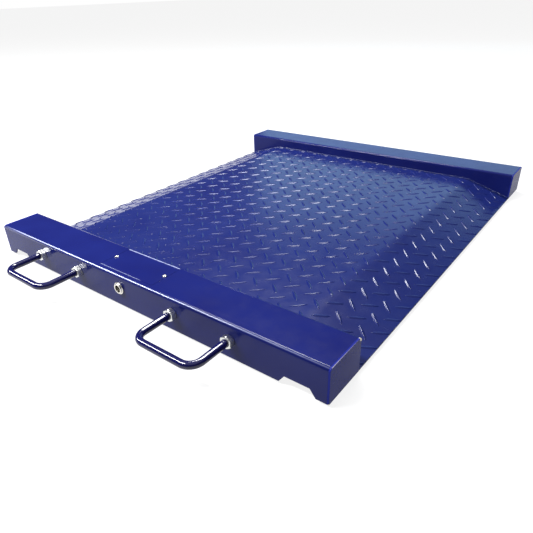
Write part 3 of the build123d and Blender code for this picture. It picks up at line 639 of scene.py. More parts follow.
def foot_frame(low: Vector, high: Vector, axis: Axis) -> Matrix:
    """Frame at the middle of a box's lower face, its Z axis along one axis of the box.

    Args:
        low: lowest corner of the box.
        high: highest corner.
        axis: the axis across that face.

    Returns:
        The frame.
    """
    foot = (low + high) / 2
    foot[axis.value] = low[axis.value]
    return Matrix.Translation(foot) if axis is Axis.Z else axis_frame(foot, axis.unit)


def ring_of(frame: Matrix, count: int, radius: Callable[[float], float],
            height: Callable[[float, float], float]) -> list[Vector]:
    """Ring of points about a frame's Z axis.

    Args:
        frame: the frame.
        count: number of points.
        radius: radius at an angle.
        height: height at a radius and angle.

    Returns:
        The points, counted from the X axis.
    """
    made = []
    for k in range(count):
        a = 2 * math.pi * k / count
        r = radius(a)
        made.append(frame @ Vector((r * math.cos(a), r * math.sin(a), height(r, a))))
    return made


def turned(frame: Matrix, radius: Callable[[float, float], float], heights: Iterable[float], ring: int = 48
           ) -> list[list[Vector]]:
    """Rings about an axis whose radius may change with height and angle.

    Args:
        frame: its Z axis is the axis of turning.
        radius: radius from height and angle.
        heights: height of each ring.
        ring: points in a ring.

    Returns:
        Rows of points for Shape.grid.
    """
    return [ring_of(frame, ring, lambda a: radius(h, a), lambda r, a: h) for h in heights]


def lathe(frame: Matrix, profile: Sequence[tuple[float, float]], ring: int = 48) -> list[list[Vector]]:
    """Rings of a turned outline given as (radius, height) points."""
    return [ring_of(frame, ring, lambda a: radius, lambda r, a: height) for radius, height in profile]


def rounded(points: Sequence[tuple[float, float]], radius: float, steps: int = 4
            ) -> list[tuple[float, float]]:
    """Open outline with each inner corner rounded by an arc-like curve.

    Args:
        points: corner points.
        radius: distance from a corner to where its curve starts, cut back on short sides.
        steps: points on each curve, less one.

    Returns:
        The rounded outline.
    """
    made = [points[0]]
    for before, at, after in zip(points, points[1:], points[2:]):
        p, q, r = Vector(before), Vector(at), Vector(after)
        reach = min(radius, (p - q).length * 0.45, (r - q).length * 0.45)
        a, b = q + (p - q).normalized() * reach, q + (r - q).normalized() * reach
        for k in range(steps + 1):
            t = k / steps
            made.append(tuple(a * (1 - t) ** 2 + q * 2 * t * (1 - t) + b * t * t))
    made.append(points[-1])
    return made


def soften(node: bpy.types.Object, width: float, angle: float = 32.0, segments: int = 2) -> None:
    """Round a frame node's edges with modifiers.

    Args:
        node: the node's object.
        width: width of the rounding, in metres.
        angle: least edge angle that is rounded, in degrees.
        segments: facets across the rounding.
    """
    weld = node.modifiers.new("weld", "WELD")
    weld.merge_threshold = 1e-6
    flat = node.modifiers.new("flat", "DECIMATE")
    flat.decimate_type = "DISSOLVE"
    flat.angle_limit = math.radians(0.4)
    bevel = node.modifiers.new("edges", "BEVEL")
    bevel.width, bevel.segments = width, segments
    bevel.limit_method, bevel.angle_limit = "ANGLE", math.radians(angle)
    bevel.harden_normals = True


@dataclass
class Assembly:
    """Base of every sub-assembly: holds the frame's nodes by name, dresses them and reports its pieces."""

    nodes: dict[str, bpy.types.Object]

    def build(self) -> None:
        """Make and dress the sub-assembly's pieces."""
        raise NotImplementedError

    def paint(self, finish: Finish, *names: str, edge: float = 0.0, angle: float = 32.0) -> None:
        """Give frame nodes a finish, and rounded edges.

        Args:
            finish: the finish.
            names: node names.
            edge: width of the rounding, or 0 for none.
            angle: least edge angle that is rounded, in degrees.
        """
        for name in names:
            node = self.nodes[name]
            for place in node.material_slots:
                place.material = material_of(finish)
            if edge:
                soften(node, edge, angle)
            LOG.info("dressed %s in %s", name, finish.slot)

    def nuts(self, node: str, flats: float, bore: float, axis: Axis, chamfer: float = 0.0006) -> Shape:
        """Hexagon nuts in place of a node's plain ones.

        Args:
            node: the frame node.
            flats: size across the flats.
            bore: diameter of the thread.
            axis: the axis of their bores.
            chamfer: depth of the thread's mouth.

        Returns:
            The nuts' shape.
        """
        shape = Shape()
        for low, high in loose_parts(self.nodes[node]):
            nut = HexNut(flats, (high - low)[axis.value], bore, chamfer)
            nut.add_to(shape, foot_frame(low, high, axis))
        return shape

    def stand_for(self, piece: bpy.types.Object, *names: str) -> None:
        """Show a piece in place of frame nodes."""
        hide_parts(*names)
        LOG.info("made %s for %s", piece.name, ", ".join(names))


def loose_parts(node: bpy.types.Object) -> list[tuple[Vector, Vector]]:
    """Boxes of the separate solids in a node, from left to right.

    Args:
        node: the node's object.

    Returns:
        Pairs of lowest and highest corner.
    """
    build = bmesh.new()
    build.from_mesh(node.data)
    bmesh.ops.remove_doubles(build, verts=build.verts, dist=1e-6)
    left, boxes = set(build.verts), []
    while left:
        stack, island = [left.pop()], []
        while stack:
            vert = stack.pop()
            island.append(vert.co.copy())
            for edge in vert.link_edges:
                other = edge.other_vert(vert)
                if other in left:
                    left.remove(other)
                    stack.append(other)
        boxes.append((Vector(min(p[k] for p in island) for k in range(3)),
                      Vector(max(p[k] for p in island) for k in range(3))))
    build.free()
    return sorted(boxes, key=lambda box: (round(box[0].x, 4), round(box[0].y, 4), round(box[0].z, 4)))


# ---------------------------------------------------------------------------
# Fasteners shared by the sub-assemblies
# ---------------------------------------------------------------------------
@dataclass(frozen=True)
class HexNut:
    """Hexagon nut: chamfered corners, washer face and countersunk thread mouth."""

    across_flats: float
    height: float
    bore: float
    chamfer: float = 0.0006
    face_share: float = 0.95
    chamfer_slope: float = 0.577
    corner_share: float = 0.985
    ring: int = 96

    def add_to(self, shape: Shape, frame: Matrix) -> None:
        """Add the nut to a shape.

        Args:
            shape: the shape that grows.
            frame: the nut's base centre, its Z axis through the bore.
        """
        half, bore = self.across_flats / 2, self.bore / 2
        face, drop = half * self.face_share, self.chamfer
        limit = self.across_flats / math.sqrt(3) * self.corner_share

        def side(a: float) -> float:
            """Distance from the axis to the hexagon's side."""
            turn = (a + math.pi / 6) % (math.pi / 3) - math.pi / 6
            return min(half / math.cos(turn), limit)

        inner = [(bore, drop), (bore + drop, 0.0), (face, 0.0)]
        rows = lathe(frame, inner, self.ring)
        slope, top = self.chamfer_slope, self.height
        rows.append(ring_of(frame, self.ring, side, lambda r, a: (r - face) * slope))
        rows.append(ring_of(frame, self.ring, side, lambda r, a: top - (r - face) * slope))
        rows += lathe(frame, [(r, self.height - h) for r, h in reversed(inner)], self.ring)
        shape.grid(rows, wrap_ring=True, wrap_rows=True)


@dataclass(frozen=True)
class Thread:
    """Outside thread cut into a shank."""

    diameter: float
    pitch: float
    depth_share: float = 0.55
    steps: int = 6

    def radius(self, height: float, angle: float) -> float:
        """Radius of the thread at a height and angle."""
        phase = (height / self.pitch - angle / (2 * math.pi)) % 1.0
        return self.diameter / 2 - self.pitch * self.depth_share * (1 - abs(2 * phase - 1))

    def heights(self, start: float, end: float) -> list[float]:
        """Ring heights that resolve the thread from start to end."""
        count = max(2, round((end - start) / self.pitch * self.steps))
        return [start + (end - start) * k / count for k in range(count + 1)]


@dataclass(frozen=True)
class PanHead:
    """Domed screw head with a crossed recess, and a plain shank."""

    head: float
    rise: float
    shank: float
    length: float
    arm_share: float = 0.56
    slot_share: float = 0.15
    depth_share: float = 0.75
    wall_share: float = 0.06
    rings: int = 26
    ring: int = 64

    def add_to(self, shape: Shape, seat: Vector) -> None:
        """Add the screw to a shape.

        Args:
            shape: the shape that grows.
            seat: the centre of the head's underside; the head points up.
        """
        radius, shank = self.head / 2, self.shank / 2
        reach = [radius * math.sin(math.pi / 2 * k / self.rings) for k in range(self.rings + 1)]
        frame = Matrix.Translation(seat)

        def top(r: float, a: float) -> float:
            """Height of the head over a point.

            Args:
                r: distance from the middle.
                a: angle round the middle.

            Returns:
                The height over the seat.
            """
            dome = self.rise * (1 - min(1.0, r / radius) ** 4) ** 0.5
            arm, slot = radius * self.arm_share, radius * self.slot_share
            across, along = sorted((abs(r * math.cos(a)), abs(r * math.sin(a))))
            inside = min(arm - along, slot * (1.6 - along / arm) - across) / (radius * self.wall_share)
            return dome - self.rise * self.depth_share * max(0.0, min(1.0, inside))

        rows = [ring_of(frame, self.ring, lambda a: r, top) for r in reach]
        below = [(radius, 0.0), (shank, 0.0), (shank, -self.length), (0, -self.length)]
        shape.grid(rows + lathe(frame, below, self.ring), wrap_ring=True)


@dataclass(frozen=True)
class Tube:
    """Round bar swept along a path that stays level."""

    radius: float
    ring: int = 32

    def add_to(self, shape: Shape, path: Sequence[Vector],
               radius_at: Callable[[Vector, float], float] | None = None) -> None:
        """Add the bar to a shape.

        Args:
            shape: the shape that grows.
            path: centre line.
            radius_at: radius from the centre point and angle, where it isn't constant.
        """
        rows = []
        for k, at in enumerate(path):
            along = (path[min(k + 1, len(path) - 1)] - path[max(k - 1, 0)]).normalized()
            across = along.cross(Vector((0, 0, 1)))
            row = []
            for j in range(self.ring):
                a = 2 * math.pi * j / self.ring
                r = radius_at(at, a) if radius_at else self.radius
                row.append(at + across * (r * math.cos(a)) + Vector((0, 0, r * math.sin(a))))
            rows.append(row)
        shape.grid(rows, wrap_ring=True, capped=True)


# ---------------------------------------------------------------------------
# Sub-assemblies
# ---------------------------------------------------------------------------
@dataclass
class Rails(Assembly):
    """Both folded rails, the cover that lies flush in the front one, and the plates that close their ends."""

    edge: float = 0.0005
    seam_edge: float = 0.0009
    bend_shift: float = 0.0022
    bend_past: float = 0.08
    # Painted highlights: pale lines on the front rail's bend and the cover's seams stand in for light caught
    # on these edges.
    bend_wear: Wear = Wear(0.0013, 0.0023, 0.85, 0.10, 0.58)
    back_seam_wear: Wear = Wear(0.0006, 0.0019, 0.55, 0.002, 0.004)
    front_seam_wear: Wear = Wear(0.0003, 0.0012, 0.35, 0.002, 0.01)
    front_seam_share: float = 0.8
    # Pale line along the front right end's top edge.
    end_wear: Wear = Wear(0.0003, 0.0013, 0.5, 0.003, 0.09)
    end_pale: Colour = (0.42, 0.40, 0.42)
    corner_round: float = 0.003
    chip_top: float = 0.0060
    chip_foot: float = 0.0022

    def highlight_lines(self) -> tuple[PaleEdgeLine, ...]:
        """Painted highlights: pale lines along the front rail's bend and along the seams of the cover.

        Returns:
            The edges.
        """
        low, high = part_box("front_rail")
        cover_low, cover_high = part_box("access_cover")
        seam_end = cover_low.x + (cover_high.x - cover_low.x) * self.front_seam_share
        bend = (low.y + self.bend_shift, high.z)
        return (PaleEdgeLine(bend, low.x, high.x + self.bend_past, self.bend_wear),
                PaleEdgeLine((cover_high.y, high.z), cover_low.x, cover_high.x, self.back_seam_wear),
                PaleEdgeLine((cover_low.y, high.z), cover_low.x, seam_end, self.front_seam_wear))

    def worn_end(self) -> Enamel:
        """Enamel of the front right end: the end enamel painted lighter for the light it catches, a pale line
        along its top edge and two corners chipped bare.

        Returns:
            The finish.
        """
        low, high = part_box("front_right_end_plate")
        chips = (((high.x, high.y - 0.001, high.z - 0.002), self.chip_top),
                 ((high.x, low.y, low.z), self.chip_foot))
        top_edge = PaleEdgeLine((high.x, high.z), low.y + self.corner_round, high.y, self.end_wear, Axis.Y)
        return replace(LIT_END_ENAMEL, chips=chips, pale_lines=(top_edge,), pale=self.end_pale)

    def build(self) -> None:
        """Dress the rails and their end plates."""
        self.paint(self.worn_end(), "front_right_end_plate", edge=SMALL_EDGE)
        # The front rail and cover carry the painted highlight lines on the bend and seams.
        painted_streaks = replace(RAIL_ENAMEL, pale_lines=self.highlight_lines())
        self.paint(painted_streaks, "front_rail", "access_cover", edge=self.seam_edge)
        self.paint(RAIL_ENAMEL, "rear_rail", edge=self.edge)
        # The other end plates take the lighter enamel, painted light for the light their faces catch.
        for corner in Corner:
            if corner is not Corner.FRONT_RIGHT:
                self.paint(LIT_END_ENAMEL, f"{corner.value}_end_plate", edge=SMALL_EDGE)


@dataclass
class TreadDeck(Assembly):
    """Raised-pattern plate bent into a ramp at each end, and the fillet welds along the rails."""

    crease_reach: float = 0.012
    pitch_x: float = 0.052
    pitch_y: float = 0.0545
    first_x: float = -0.0015
    first_y: float = 0.0065
    bar_length: float = 0.042
    bar_width: float = 0.0084
    bar_height: float = 0.0015
    bar_root: float = 0.0001
    bar_steps: int = 9
    bar_across: int = 5
    bead_radius: float = 0.0032
    bead_pitch: float = 0.0042
    bead_ripple: float = 0.22
    bead_wander: float = 0.16
    bead_sunk: float = 0.0005
    bead_inset: float = 0.0012

    def __post_init__(self) -> None:
        """Read the plate's creases, tips and thickness from its node."""
        self.low, self.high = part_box("deck_plate")
        points = {(round(v.co.x, 5), round(v.co.z, 5)) for v in self.nodes["deck_plate"].data.vertices}
        self.crease = max(x for x, z in points if self.high.z - z < 1e-5)
        self.tip = max(z for x, z in points if self.high.x - x < 1e-5)
        self.under = max(z for x, z in points if self.high.z - z > 1e-4)
        self.under_crease = max(x for x, z in points if abs(z - self.under) < 1e-5)
        self.slope = (self.high.z - self.tip) / (self.high.x - self.crease)

    def surface(self, x: float) -> float:
        """Height of the plate's upper face, with its crease rounded.

        Args:
            x: place across the plate.

        Returns:
            The height.
        """
        past, reach = abs(x) - self.crease, self.crease_reach
        if past <= -reach:
            return self.high.z
        if past < reach:
            return self.high.z - self.slope * (past + reach) ** 2 / (4 * reach)
        return self.high.z - self.slope * past

    def underside(self, x: float) -> float:
        """Height of the plate's lower face at x."""
        return max(self.low.z, self.under - self.slope * max(0.0, abs(x) - self.under_crease))

    def plate(self) -> Shape:
        """The bent plate without its pattern.

        Returns:
            The plate's shape.
        """
        steps = [k / 8 for k in range(-8, 9)]
        half = [self.crease + s * self.crease_reach for s in steps] + [self.high.x]
        xs = [-x for x in reversed(half)] + half
        ring = [(x, self.surface(x)) for x in xs] + [(x, self.underside(x)) for x in reversed(xs)]
        shape = Shape()
        shape.grid([[Vector((x, y, z)) for x, z in ring] for y in (self.low.y, self.high.y)],
                   wrap_ring=True, capped=True)
        return shape

    def bar(self, shape: Shape, centre: Vector, lean: float) -> None:
        """Add one raised bar that follows the plate and stops at its edges.

        Args:
            shape: the shape that grows.
            centre: the bar's middle, seen from above.
            lean: angle of its length from X, in degrees.
        """
        along = Vector((math.cos(math.radians(lean)), math.sin(math.radians(lean))))
        across = Vector((-along.y, along.x))
        rows = []
        for i in range(-self.bar_steps, self.bar_steps + 1):
            u, row = i / self.bar_steps, []
            half = self.bar_width / 2 * (1 - abs(u) ** 2.8)
            crest = (self.bar_height + self.bar_root) * (1 - abs(u) ** 5)
            for j in range(-self.bar_across, self.bar_across + 1):
                v = j / self.bar_across
                at = centre + along * (u * self.bar_length / 2) + across * (v * half)
                x = min(max(at.x, self.low.x), self.high.x)
                y = min(max(at.y, self.low.y), self.high.y)
                rise = crest * math.cos(math.pi / 2 * v) ** 1.5
                row.append(Vector((x, y, self.surface(x) - self.bar_root + rise)))
            rows.append(row)
        shape.grid(rows)

    def pattern(self) -> Shape:
        """Both leaning families of bars, half a pitch apart.

        Returns:
            The pattern's shape.
        """
        shape = Shape()
        columns = round((self.high.x - self.low.x) / self.pitch_x) + 1
        lines = round((self.high.y - self.low.y) / self.pitch_y) + 1
        margin = self.bar_length / 3
        for shift, lean in ((0.0, 45.0), (0.5, -45.0)):
            for k in range(-1, columns + 1):
                for j in range(-1, lines + 1):
                    x = self.low.x + self.first_x + self.pitch_x * (k + shift)
                    y = self.low.y + self.first_y + self.pitch_y * (j + shift)
                    if (self.low.x - margin < x < self.high.x + margin
                            and self.low.y - margin < y < self.high.y + margin):
                        self.bar(shape, Vector((x, y)), lean)
        return shape

    def bead(self, web_y: float, inward: int) -> Shape:
        """Rippled fillet weld along a rail's web.

        Args:
            web_y: the web's face.
            inward: sign of Y from the web to the plate.

        Returns:
            The bead's shape.
        """
        start, end = self.low.x + self.bead_inset, self.high.x - self.bead_inset
        count = round((end - start) / self.bead_pitch * 7)
        rows = []
        for k in range(count + 1):
            x = start + (end - start) * k / count
            z = self.surface(x)
            size = self.bead_radius * (1 + self.bead_wander * noise.noise(Vector((x * 60, web_y * 9, 3.7))))
            row = [Vector((x, web_y - inward * self.bead_sunk, z - self.bead_sunk))]
            for j in range(9):
                turn = math.pi / 2 * j / 8
                phase = math.pi * (x / self.bead_pitch + 0.35 * math.sin(2 * turn))
                r = size * (1 - self.bead_ripple * abs(math.cos(phase)) ** 3)
                row.append(Vector((x, web_y + inward * r * math.cos(turn), z + r * math.sin(turn))))
            rows.append(row)
        shape = Shape()
        shape.grid(rows, wrap_ring=True, capped=True)
        return shape

    def build(self) -> None:
        """Make the plate, its pattern and its welds."""
        self.stand_for(self.plate().piece("tread_plate", DECK_ENAMEL), "deck_plate")
        self.pattern().piece("tread_bars", BAR_ENAMEL, sharp=70.0)
        for place, web_y, inward in (("front", self.low.y, 1), ("rear", self.high.y, -1)):
            self.bead(web_y, inward).piece(f"deck_weld_{place}", DECK_ENAMEL, sharp=70.0)
        LOG.info("made tread_bars, deck_weld_front and deck_weld_rear")


@dataclass
class Underframe(Assembly):
    """Cross tubes, gussets under the ramps and the cable conduit."""

    edge: float = 0.0006

    def build(self) -> None:
        """Dress the members under the deck."""
        self.paint(RAIL_ENAMEL, "crossbar_left", "crossbar_middle", "crossbar_right", "ramp_ribs_left",
                   "ramp_ribs_right", "cable_conduit", edge=self.edge)


@dataclass
class Handles(Assembly):
    """Two U handles of round bar with threaded legs, and their nuts."""

    rod: float = 0.016
    bend: float = 0.026
    bend_steps: int = 14
    pitch: float = 0.002
    nut_flats: float = 0.024
    end_chamfer: float = 0.001
    thread_lead: float = 0.003

    def bar(self, low: Vector, high: Vector, seat: float) -> Shape:
        """One handle.

        Args:
            low: lowest corner of the handle's box.
            high: highest corner.
            seat: Y of the outer nuts' front, where the thread starts.

        Returns:
            The handle's shape.
        """
        half, z = self.rod / 2, (low.z + high.z) / 2
        left, right, grip, tail = low.x + half, high.x - half, low.y + half, high.y
        thread = Thread(self.rod, self.pitch)
        starts = seat + self.thread_lead
        heights = thread.heights(starts, tail - self.end_chamfer)
        leg = [tail, *reversed(heights), starts - 0.0005, seat - 0.01]

        def arc(cx: float, start: float) -> list[Vector]:
            """Quarter turn of the bar.

            Args:
                cx: X of the turn's centre.
                start: angle where it starts, in degrees.

            Returns:
                Points along the turn.
            """
            turns = [math.radians(start + 90 * k / self.bend_steps) for k in range(self.bend_steps + 1)]
            return [Vector((cx + self.bend * math.cos(a), grip + self.bend + self.bend * math.sin(a), z))
                    for a in turns]

        path = [Vector((left, y, z)) for y in leg] + arc(left + self.bend, 180)
        path += arc(right - self.bend, 270) + [Vector((right, y, z)) for y in reversed(leg)]

        def radius(at: Vector, angle: float) -> float:
            """Radius of the bar, its thread or its chamfered end.

            Args:
                at: point on the centre line.
                angle: angle round it.

            Returns:
                The radius.
            """
            if at.y >= tail - 1e-9:
                return half - self.end_chamfer
            return thread.radius(at.y, angle) if at.y >= starts - 1e-9 else half

        shape = Shape()
        Tube(half).add_to(shape, path, radius)
        return shape

    def build(self) -> None:
        """Make both handles and their nuts."""
        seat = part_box("handle_outer_nuts")[0].y
        for side in Side:
            name = f"{side.value}_handle"
            made = self.bar(*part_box(name), seat).piece(f"{side.value}_grip", HANDLE_ENAMEL, sharp=50.0)
            self.stand_for(made, name)
        for place in ("outer", "inner"):
            node = f"handle_{place}_nuts"
            nuts = self.nuts(node, self.nut_flats, self.rod, Axis.Y)
            self.stand_for(nuts.piece(f"{place}_nuts", ZINC), node)


@dataclass
class Service(Assembly):
    """Frame and screws of the flush cover, and the junction box below it."""

    edge: float = 0.0005
    head: float = 0.0095
    rise: float = 0.0026
    box_rise: float = 0.0022
    shank: float = 0.005

    def screws(self, node: str, rise: float) -> Shape:
        """Pan-head screws in place of a node's plain ones.

        Args:
            node: the frame node.
            rise: height of each head.

        Returns:
            The screws' shape.
        """
        shape = Shape()
        for low, high in loose_parts(self.nodes[node]):
            head = high.x - low.x
            screw = PanHead(head, rise, head * self.shank / self.head, high.z - low.z - rise)
            screw.add_to(shape, Vector(((low.x + high.x) / 2, (low.y + high.y) / 2, high.z - rise)))
        return shape

    def build(self) -> None:
        """Dress the frame and box, and make the screws."""
        self.paint(RAIL_ENAMEL, "cover_frame", "junction_tray", edge=self.edge)
        self.paint(BOX_PLASTIC, "junction_box_body", "junction_box_lid", edge=self.edge)
        self.paint(SOLDER_MASK, "junction_board")
        self.paint(TERMINAL, "terminal_blocks", edge=SMALL_EDGE)
        self.paint(GLAND_NYLON, "cable_glands", edge=SMALL_EDGE)
        for node, name, rise in (("cover_screws", "cover_pan_screws", self.rise),
                                 ("junction_box_screws", "box_pan_screws", self.box_rise)):
            self.stand_for(self.screws(node, rise).piece(name, SCREW_STEEL, sharp=50.0), node)


@dataclass
class Socket(Assembly):
    """Round indicator socket: turned shell, keyed insert with contacts, and its nut inside the rail."""

    ring: float = 0.023
    bore: float = 0.0166
    flange_height: float = 0.003
    body: float = 0.020
    tail: float = 0.009
    nut_flats: float = 0.025
    nut_chamfer: float = 0.0004
    round_off: float = 0.0007
    contacts: int = 5
    contact_circle: float = 0.0046
    contact: float = 0.0018
    pin_share: float = 0.8
    boss: float = 0.0048
    rim: float = 0.0009
    trough: float = 0.0008
    well_depth: float = 0.003
    well_gap: float = 0.0004
    well_wall: float = 0.0003

    def shell(self, face_y: float) -> Shape:
        """Turned shell with a plain ring and flange.

        Args:
            face_y: Y of the rail's outer face.

        Returns:
            The shell's shape.
        """
        low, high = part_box("socket_shell")
        centre = Vector(((low.x + high.x) / 2, face_y, (low.z + high.z) / 2))
        frame = axis_frame(centre, -Axis.Y.unit)
        nose, flange, floor = face_y - low.y, (high.x - low.x) / 2, face_y - high.y
        bore, ring, body = self.bore / 2, self.ring / 2, self.body / 2
        back = face_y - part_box("socket_insert")[1].y
        outline = [(bore, back), (bore, nose), (ring, nose), (ring, self.flange_height),
                   (flange, self.flange_height), (flange, 0.0), (body, 0.0), (body, back - 0.001),
                   (self.tail / 2, back - 0.003), (self.tail / 2, floor), (0.0, floor)]
        shape = Shape()
        shape.grid(lathe(frame, rounded(outline, self.round_off), 72), wrap_ring=True)
        return shape

    def wells(self) -> list[tuple[float, float]]:
        """Centres of the contacts, from the insert's axis."""
        turns = [math.radians(90 + 360 / self.contacts * k) for k in range(self.contacts)]
        return [(self.contact_circle * math.cos(a), self.contact_circle * math.sin(a)) for a in turns]

    def insert(self) -> Shape:
        """Insert with a raised rim, a centre boss and deep contact wells.

        Returns:
            The insert's shape.
        """
        low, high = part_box("socket_insert")
        frame = axis_frame(foot_frame(low, high, Axis.Y).translation, -Axis.Y.unit)
        radius, depth, steps, ring = (high.x - low.x) / 2, high.y - low.y, 26, 96
        wells = self.wells()

        def height(r: float, a: float) -> float:
            """Height of the insert's face.

            Args:
                r: distance from the axis.
                a: angle round it.

            Returns:
                The height over the rim, never above it.
            """
            rise = -self.trough if self.boss / 2 < r < radius - self.rim else 0.0
            near = min(math.hypot(r * math.cos(a) - x, r * math.sin(a) - y) for x, y in wells)
            inside = (self.contact / 2 + self.well_gap - near) / self.well_wall
            return rise - self.well_depth * max(0.0, min(1.0, inside))

        rows = [ring_of(frame, ring, lambda a: radius * i / steps, height) for i in range(steps + 1)]
        shape = Shape()
        shape.grid(rows + lathe(frame, [(radius, -depth)], ring), wrap_ring=True)
        return shape

    def pins(self) -> Shape:
        """Plated contacts standing in the wells.

        Returns:
            The contacts' shape.
        """
        centre = foot_frame(*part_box("socket_insert"), Axis.Y).translation
        shape, r = Shape(), self.contact / 2 * self.pin_share
        outline = [(0.0, -0.0004), (r * 0.6, -0.0005), (r, -0.001), (r, -0.0035), (0.0, -0.0035)]
        for x, z in self.wells():
            frame = axis_frame(centre + Vector((x, 0.0, z)), -Axis.Y.unit)
            shape.grid(lathe(frame, outline, 20), wrap_ring=True)
        return shape

    def build(self) -> None:
        """Make the socket's pieces."""
        face_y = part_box("front_rail")[0].y
        self.stand_for(self.shell(face_y).piece("socket_turned_shell", NICKEL), "socket_shell")
        self.stand_for(self.insert().piece("socket_keyed_insert", INSERT), "socket_insert")
        nut = self.nuts("socket_nut", self.nut_flats, self.body, Axis.Y, self.nut_chamfer)
        self.stand_for(nut.piece("socket_thin_nut", NICKEL), "socket_nut")
        self.pins().piece("socket_contacts", NICKEL)
        LOG.info("made socket_contacts")


@dataclass
class Feet(Assembly):
    """Load cells, their blocks and screws, and the four levelling feet."""

    stud: float = 0.012
    pitch: float = 0.00175
    ball: float = 0.016
    neck_share: float = 0.82
    end_chamfer: float = 0.0012
    nut_flats: float = 0.019
    nut_clearance: float = 0.0001
    collar: float = 0.024
    rim_height: float = 0.005
    shoulder_height: float = 0.011
    round_off: float = 0.001
    rib_count: int = 24
    rib_depth: float = 0.0005
    edge: float = 0.0005

    def stud_shape(self, low: Vector, high: Vector) -> Shape:
        """Threaded stud on its ball.

        Args:
            low: lowest corner of the stud's box.
            high: highest corner.

        Returns:
            The stud's shape.
        """
        centre = Vector(((low.x + high.x) / 2, (low.y + high.y) / 2, low.z + self.ball / 2))
        frame, ball, half = Matrix.Translation(centre), self.ball / 2, self.stud / 2
        thread = Thread(self.stud, self.pitch)
        neck = math.asin(half * self.neck_share / ball)
        top, start = high.z - centre.z, ball * math.cos(neck) + 0.002
        turns = [(math.pi - neck) * k / 18 for k in range(19)]
        rows = lathe(frame, [(ball * math.sin(t), -ball * math.cos(t)) for t in turns])
        rows += lathe(frame, [(half * self.neck_share, start)])
        rows += turned(frame, thread.radius, thread.heights(start + 0.0005, top - self.end_chamfer))
        rows += lathe(frame, [(half - self.end_chamfer, top), (0.0, top)])
        shape = Shape()
        shape.grid(rows, wrap_ring=True)
        return shape

    def pad_shape(self, low: Vector, high: Vector) -> Shape:
        """Pad with a ribbed rim and a rounded collar round the ball.

        Args:
            low: lowest corner of the pad's box.
            high: highest corner.

        Returns:
            The pad's shape.
        """
        outer, collar, tall = (high.x - low.x) / 2, self.collar / 2, high.z - low.z
        mouth = self.ball / 2 - 0.0005
        outline = rounded([(0.0, 0.0), (outer - 0.0015, 0.0), (outer, 0.0015), (outer, self.rim_height),
                           (collar, self.shoulder_height), (collar, tall), (mouth, tall),
                           (mouth, tall - 0.004), (0.0, tall - 0.012)], self.round_off)

        def ribbed(h: float, a: float, r: float) -> float:
            """Radius of the rim with its grooves.

            Args:
                h: height over the floor.
                a: angle round the pad.
                r: radius without grooves.

            Returns:
                The radius.
            """
            groove = max(0.0, math.cos(a * self.rib_count)) ** 2 * self.rib_depth
            return r - groove if r > collar + 0.002 and 0.001 < h < self.shoulder_height else r

        frame = foot_frame(low, high, Axis.Z)
        shape = Shape()
        shape.grid([ring_of(frame, 192, lambda a: ribbed(h, a, r), lambda _, a: h) for r, h in outline],
                   wrap_ring=True)
        return shape

    def build(self) -> None:
        """Make the feet and dress the cells."""
        for corner in Corner:
            stud, pad, body = f"foot_stud_{corner.value}", f"foot_pad_{corner.value}", f"foot_{corner.value}"
            self.stand_for(self.stud_shape(*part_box(stud)).piece(f"threaded_{stud}", ZINC, body, 60.0), stud)
            self.stand_for(self.pad_shape(*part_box(pad)).piece(f"moulded_{pad}", PAD_RUBBER, body), pad)
            self.paint(CELL_STEEL, f"load_cell_{corner.value}", edge=self.edge)
        nuts = self.nuts("foot_lock_nuts", self.nut_flats, self.stud + self.nut_clearance, Axis.Z)
        self.stand_for(nuts.piece("lock_nuts", ZINC), "foot_lock_nuts")
        self.paint(RAIL_ENAMEL, "cell_mount_blocks", edge=self.edge)
        self.paint(BLACK_OXIDE, "load_cell_bolts", edge=SMALL_EDGE)


@dataclass
class Wheels(Assembly):
    """Two transport wheels in bolted brackets on the rear rail."""

    groove_depth: float = 0.0012
    groove_width: float = 0.0014
    groove_at: tuple[float, ...] = (-0.0048, 0.0, 0.0048)
    shoulder: float = 0.004
    round_off: float = 0.0014
    seat: float = 0.022
    nut_flats: float = 0.019
    axle: float = 0.012
    edge: float = 0.0007

    def tyre(self, low: Vector, high: Vector) -> Shape:
        """Tyre with rounded shoulders and three grooves.

        Args:
            low: lowest corner of the tyre's box.
            high: highest corner.

        Returns:
            The tyre's shape.
        """
        half, outer = (high.x - low.x) / 2, (high.z - low.z) / 2
        outline = [(self.seat, -half), (outer - self.shoulder, -half), (outer, -half + self.shoulder)]
        for at in self.groove_at:
            deep, wide = outer - self.groove_depth, self.groove_width / 2
            outline += [(outer, at - wide), (deep, at - wide * 0.6)]
            outline += [(deep, at + wide * 0.6), (outer, at + wide)]
        outline += [(outer, half - self.shoulder), (outer - self.shoulder, half), (self.seat, half)]
        rows = lathe(axis_frame((low + high) / 2, Axis.X.unit), rounded(outline, self.round_off, 3), 96)
        shape = Shape()
        shape.grid(rows, wrap_ring=True, wrap_rows=True)
        return shape

    def build(self) -> None:
        """Make the tyres and nuts and dress the rest."""
        for side in Side:
            tyre = f"wheel_tyre_{side.value}"
            made = self.tyre(*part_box(tyre)).piece(f"grooved_{tyre}", TYRE_RUBBER, f"wheel_{side.value}")
            self.stand_for(made, tyre)
            self.paint(HUB_NYLON, f"wheel_hub_{side.value}", edge=self.edge)
            self.paint(ZINC, f"wheel_bracket_{side.value}", edge=self.edge)
        nuts = self.nuts("wheel_axle_nuts", self.nut_flats, self.axle, Axis.X)
        self.stand_for(nuts.piece("axle_lock_nuts", ZINC), "wheel_axle_nuts")
        self.paint(ZINC, "wheel_axles", "bracket_bolts", edge=SMALL_EDGE)


@dataclass
class Leads(Assembly):
    """Cables held inside the frame."""

    def build(self) -> None:
        """Dress the cables."""
        self.paint(JACKET, *(f"cable_{corner.value}" for corner in Corner), "cable_output")


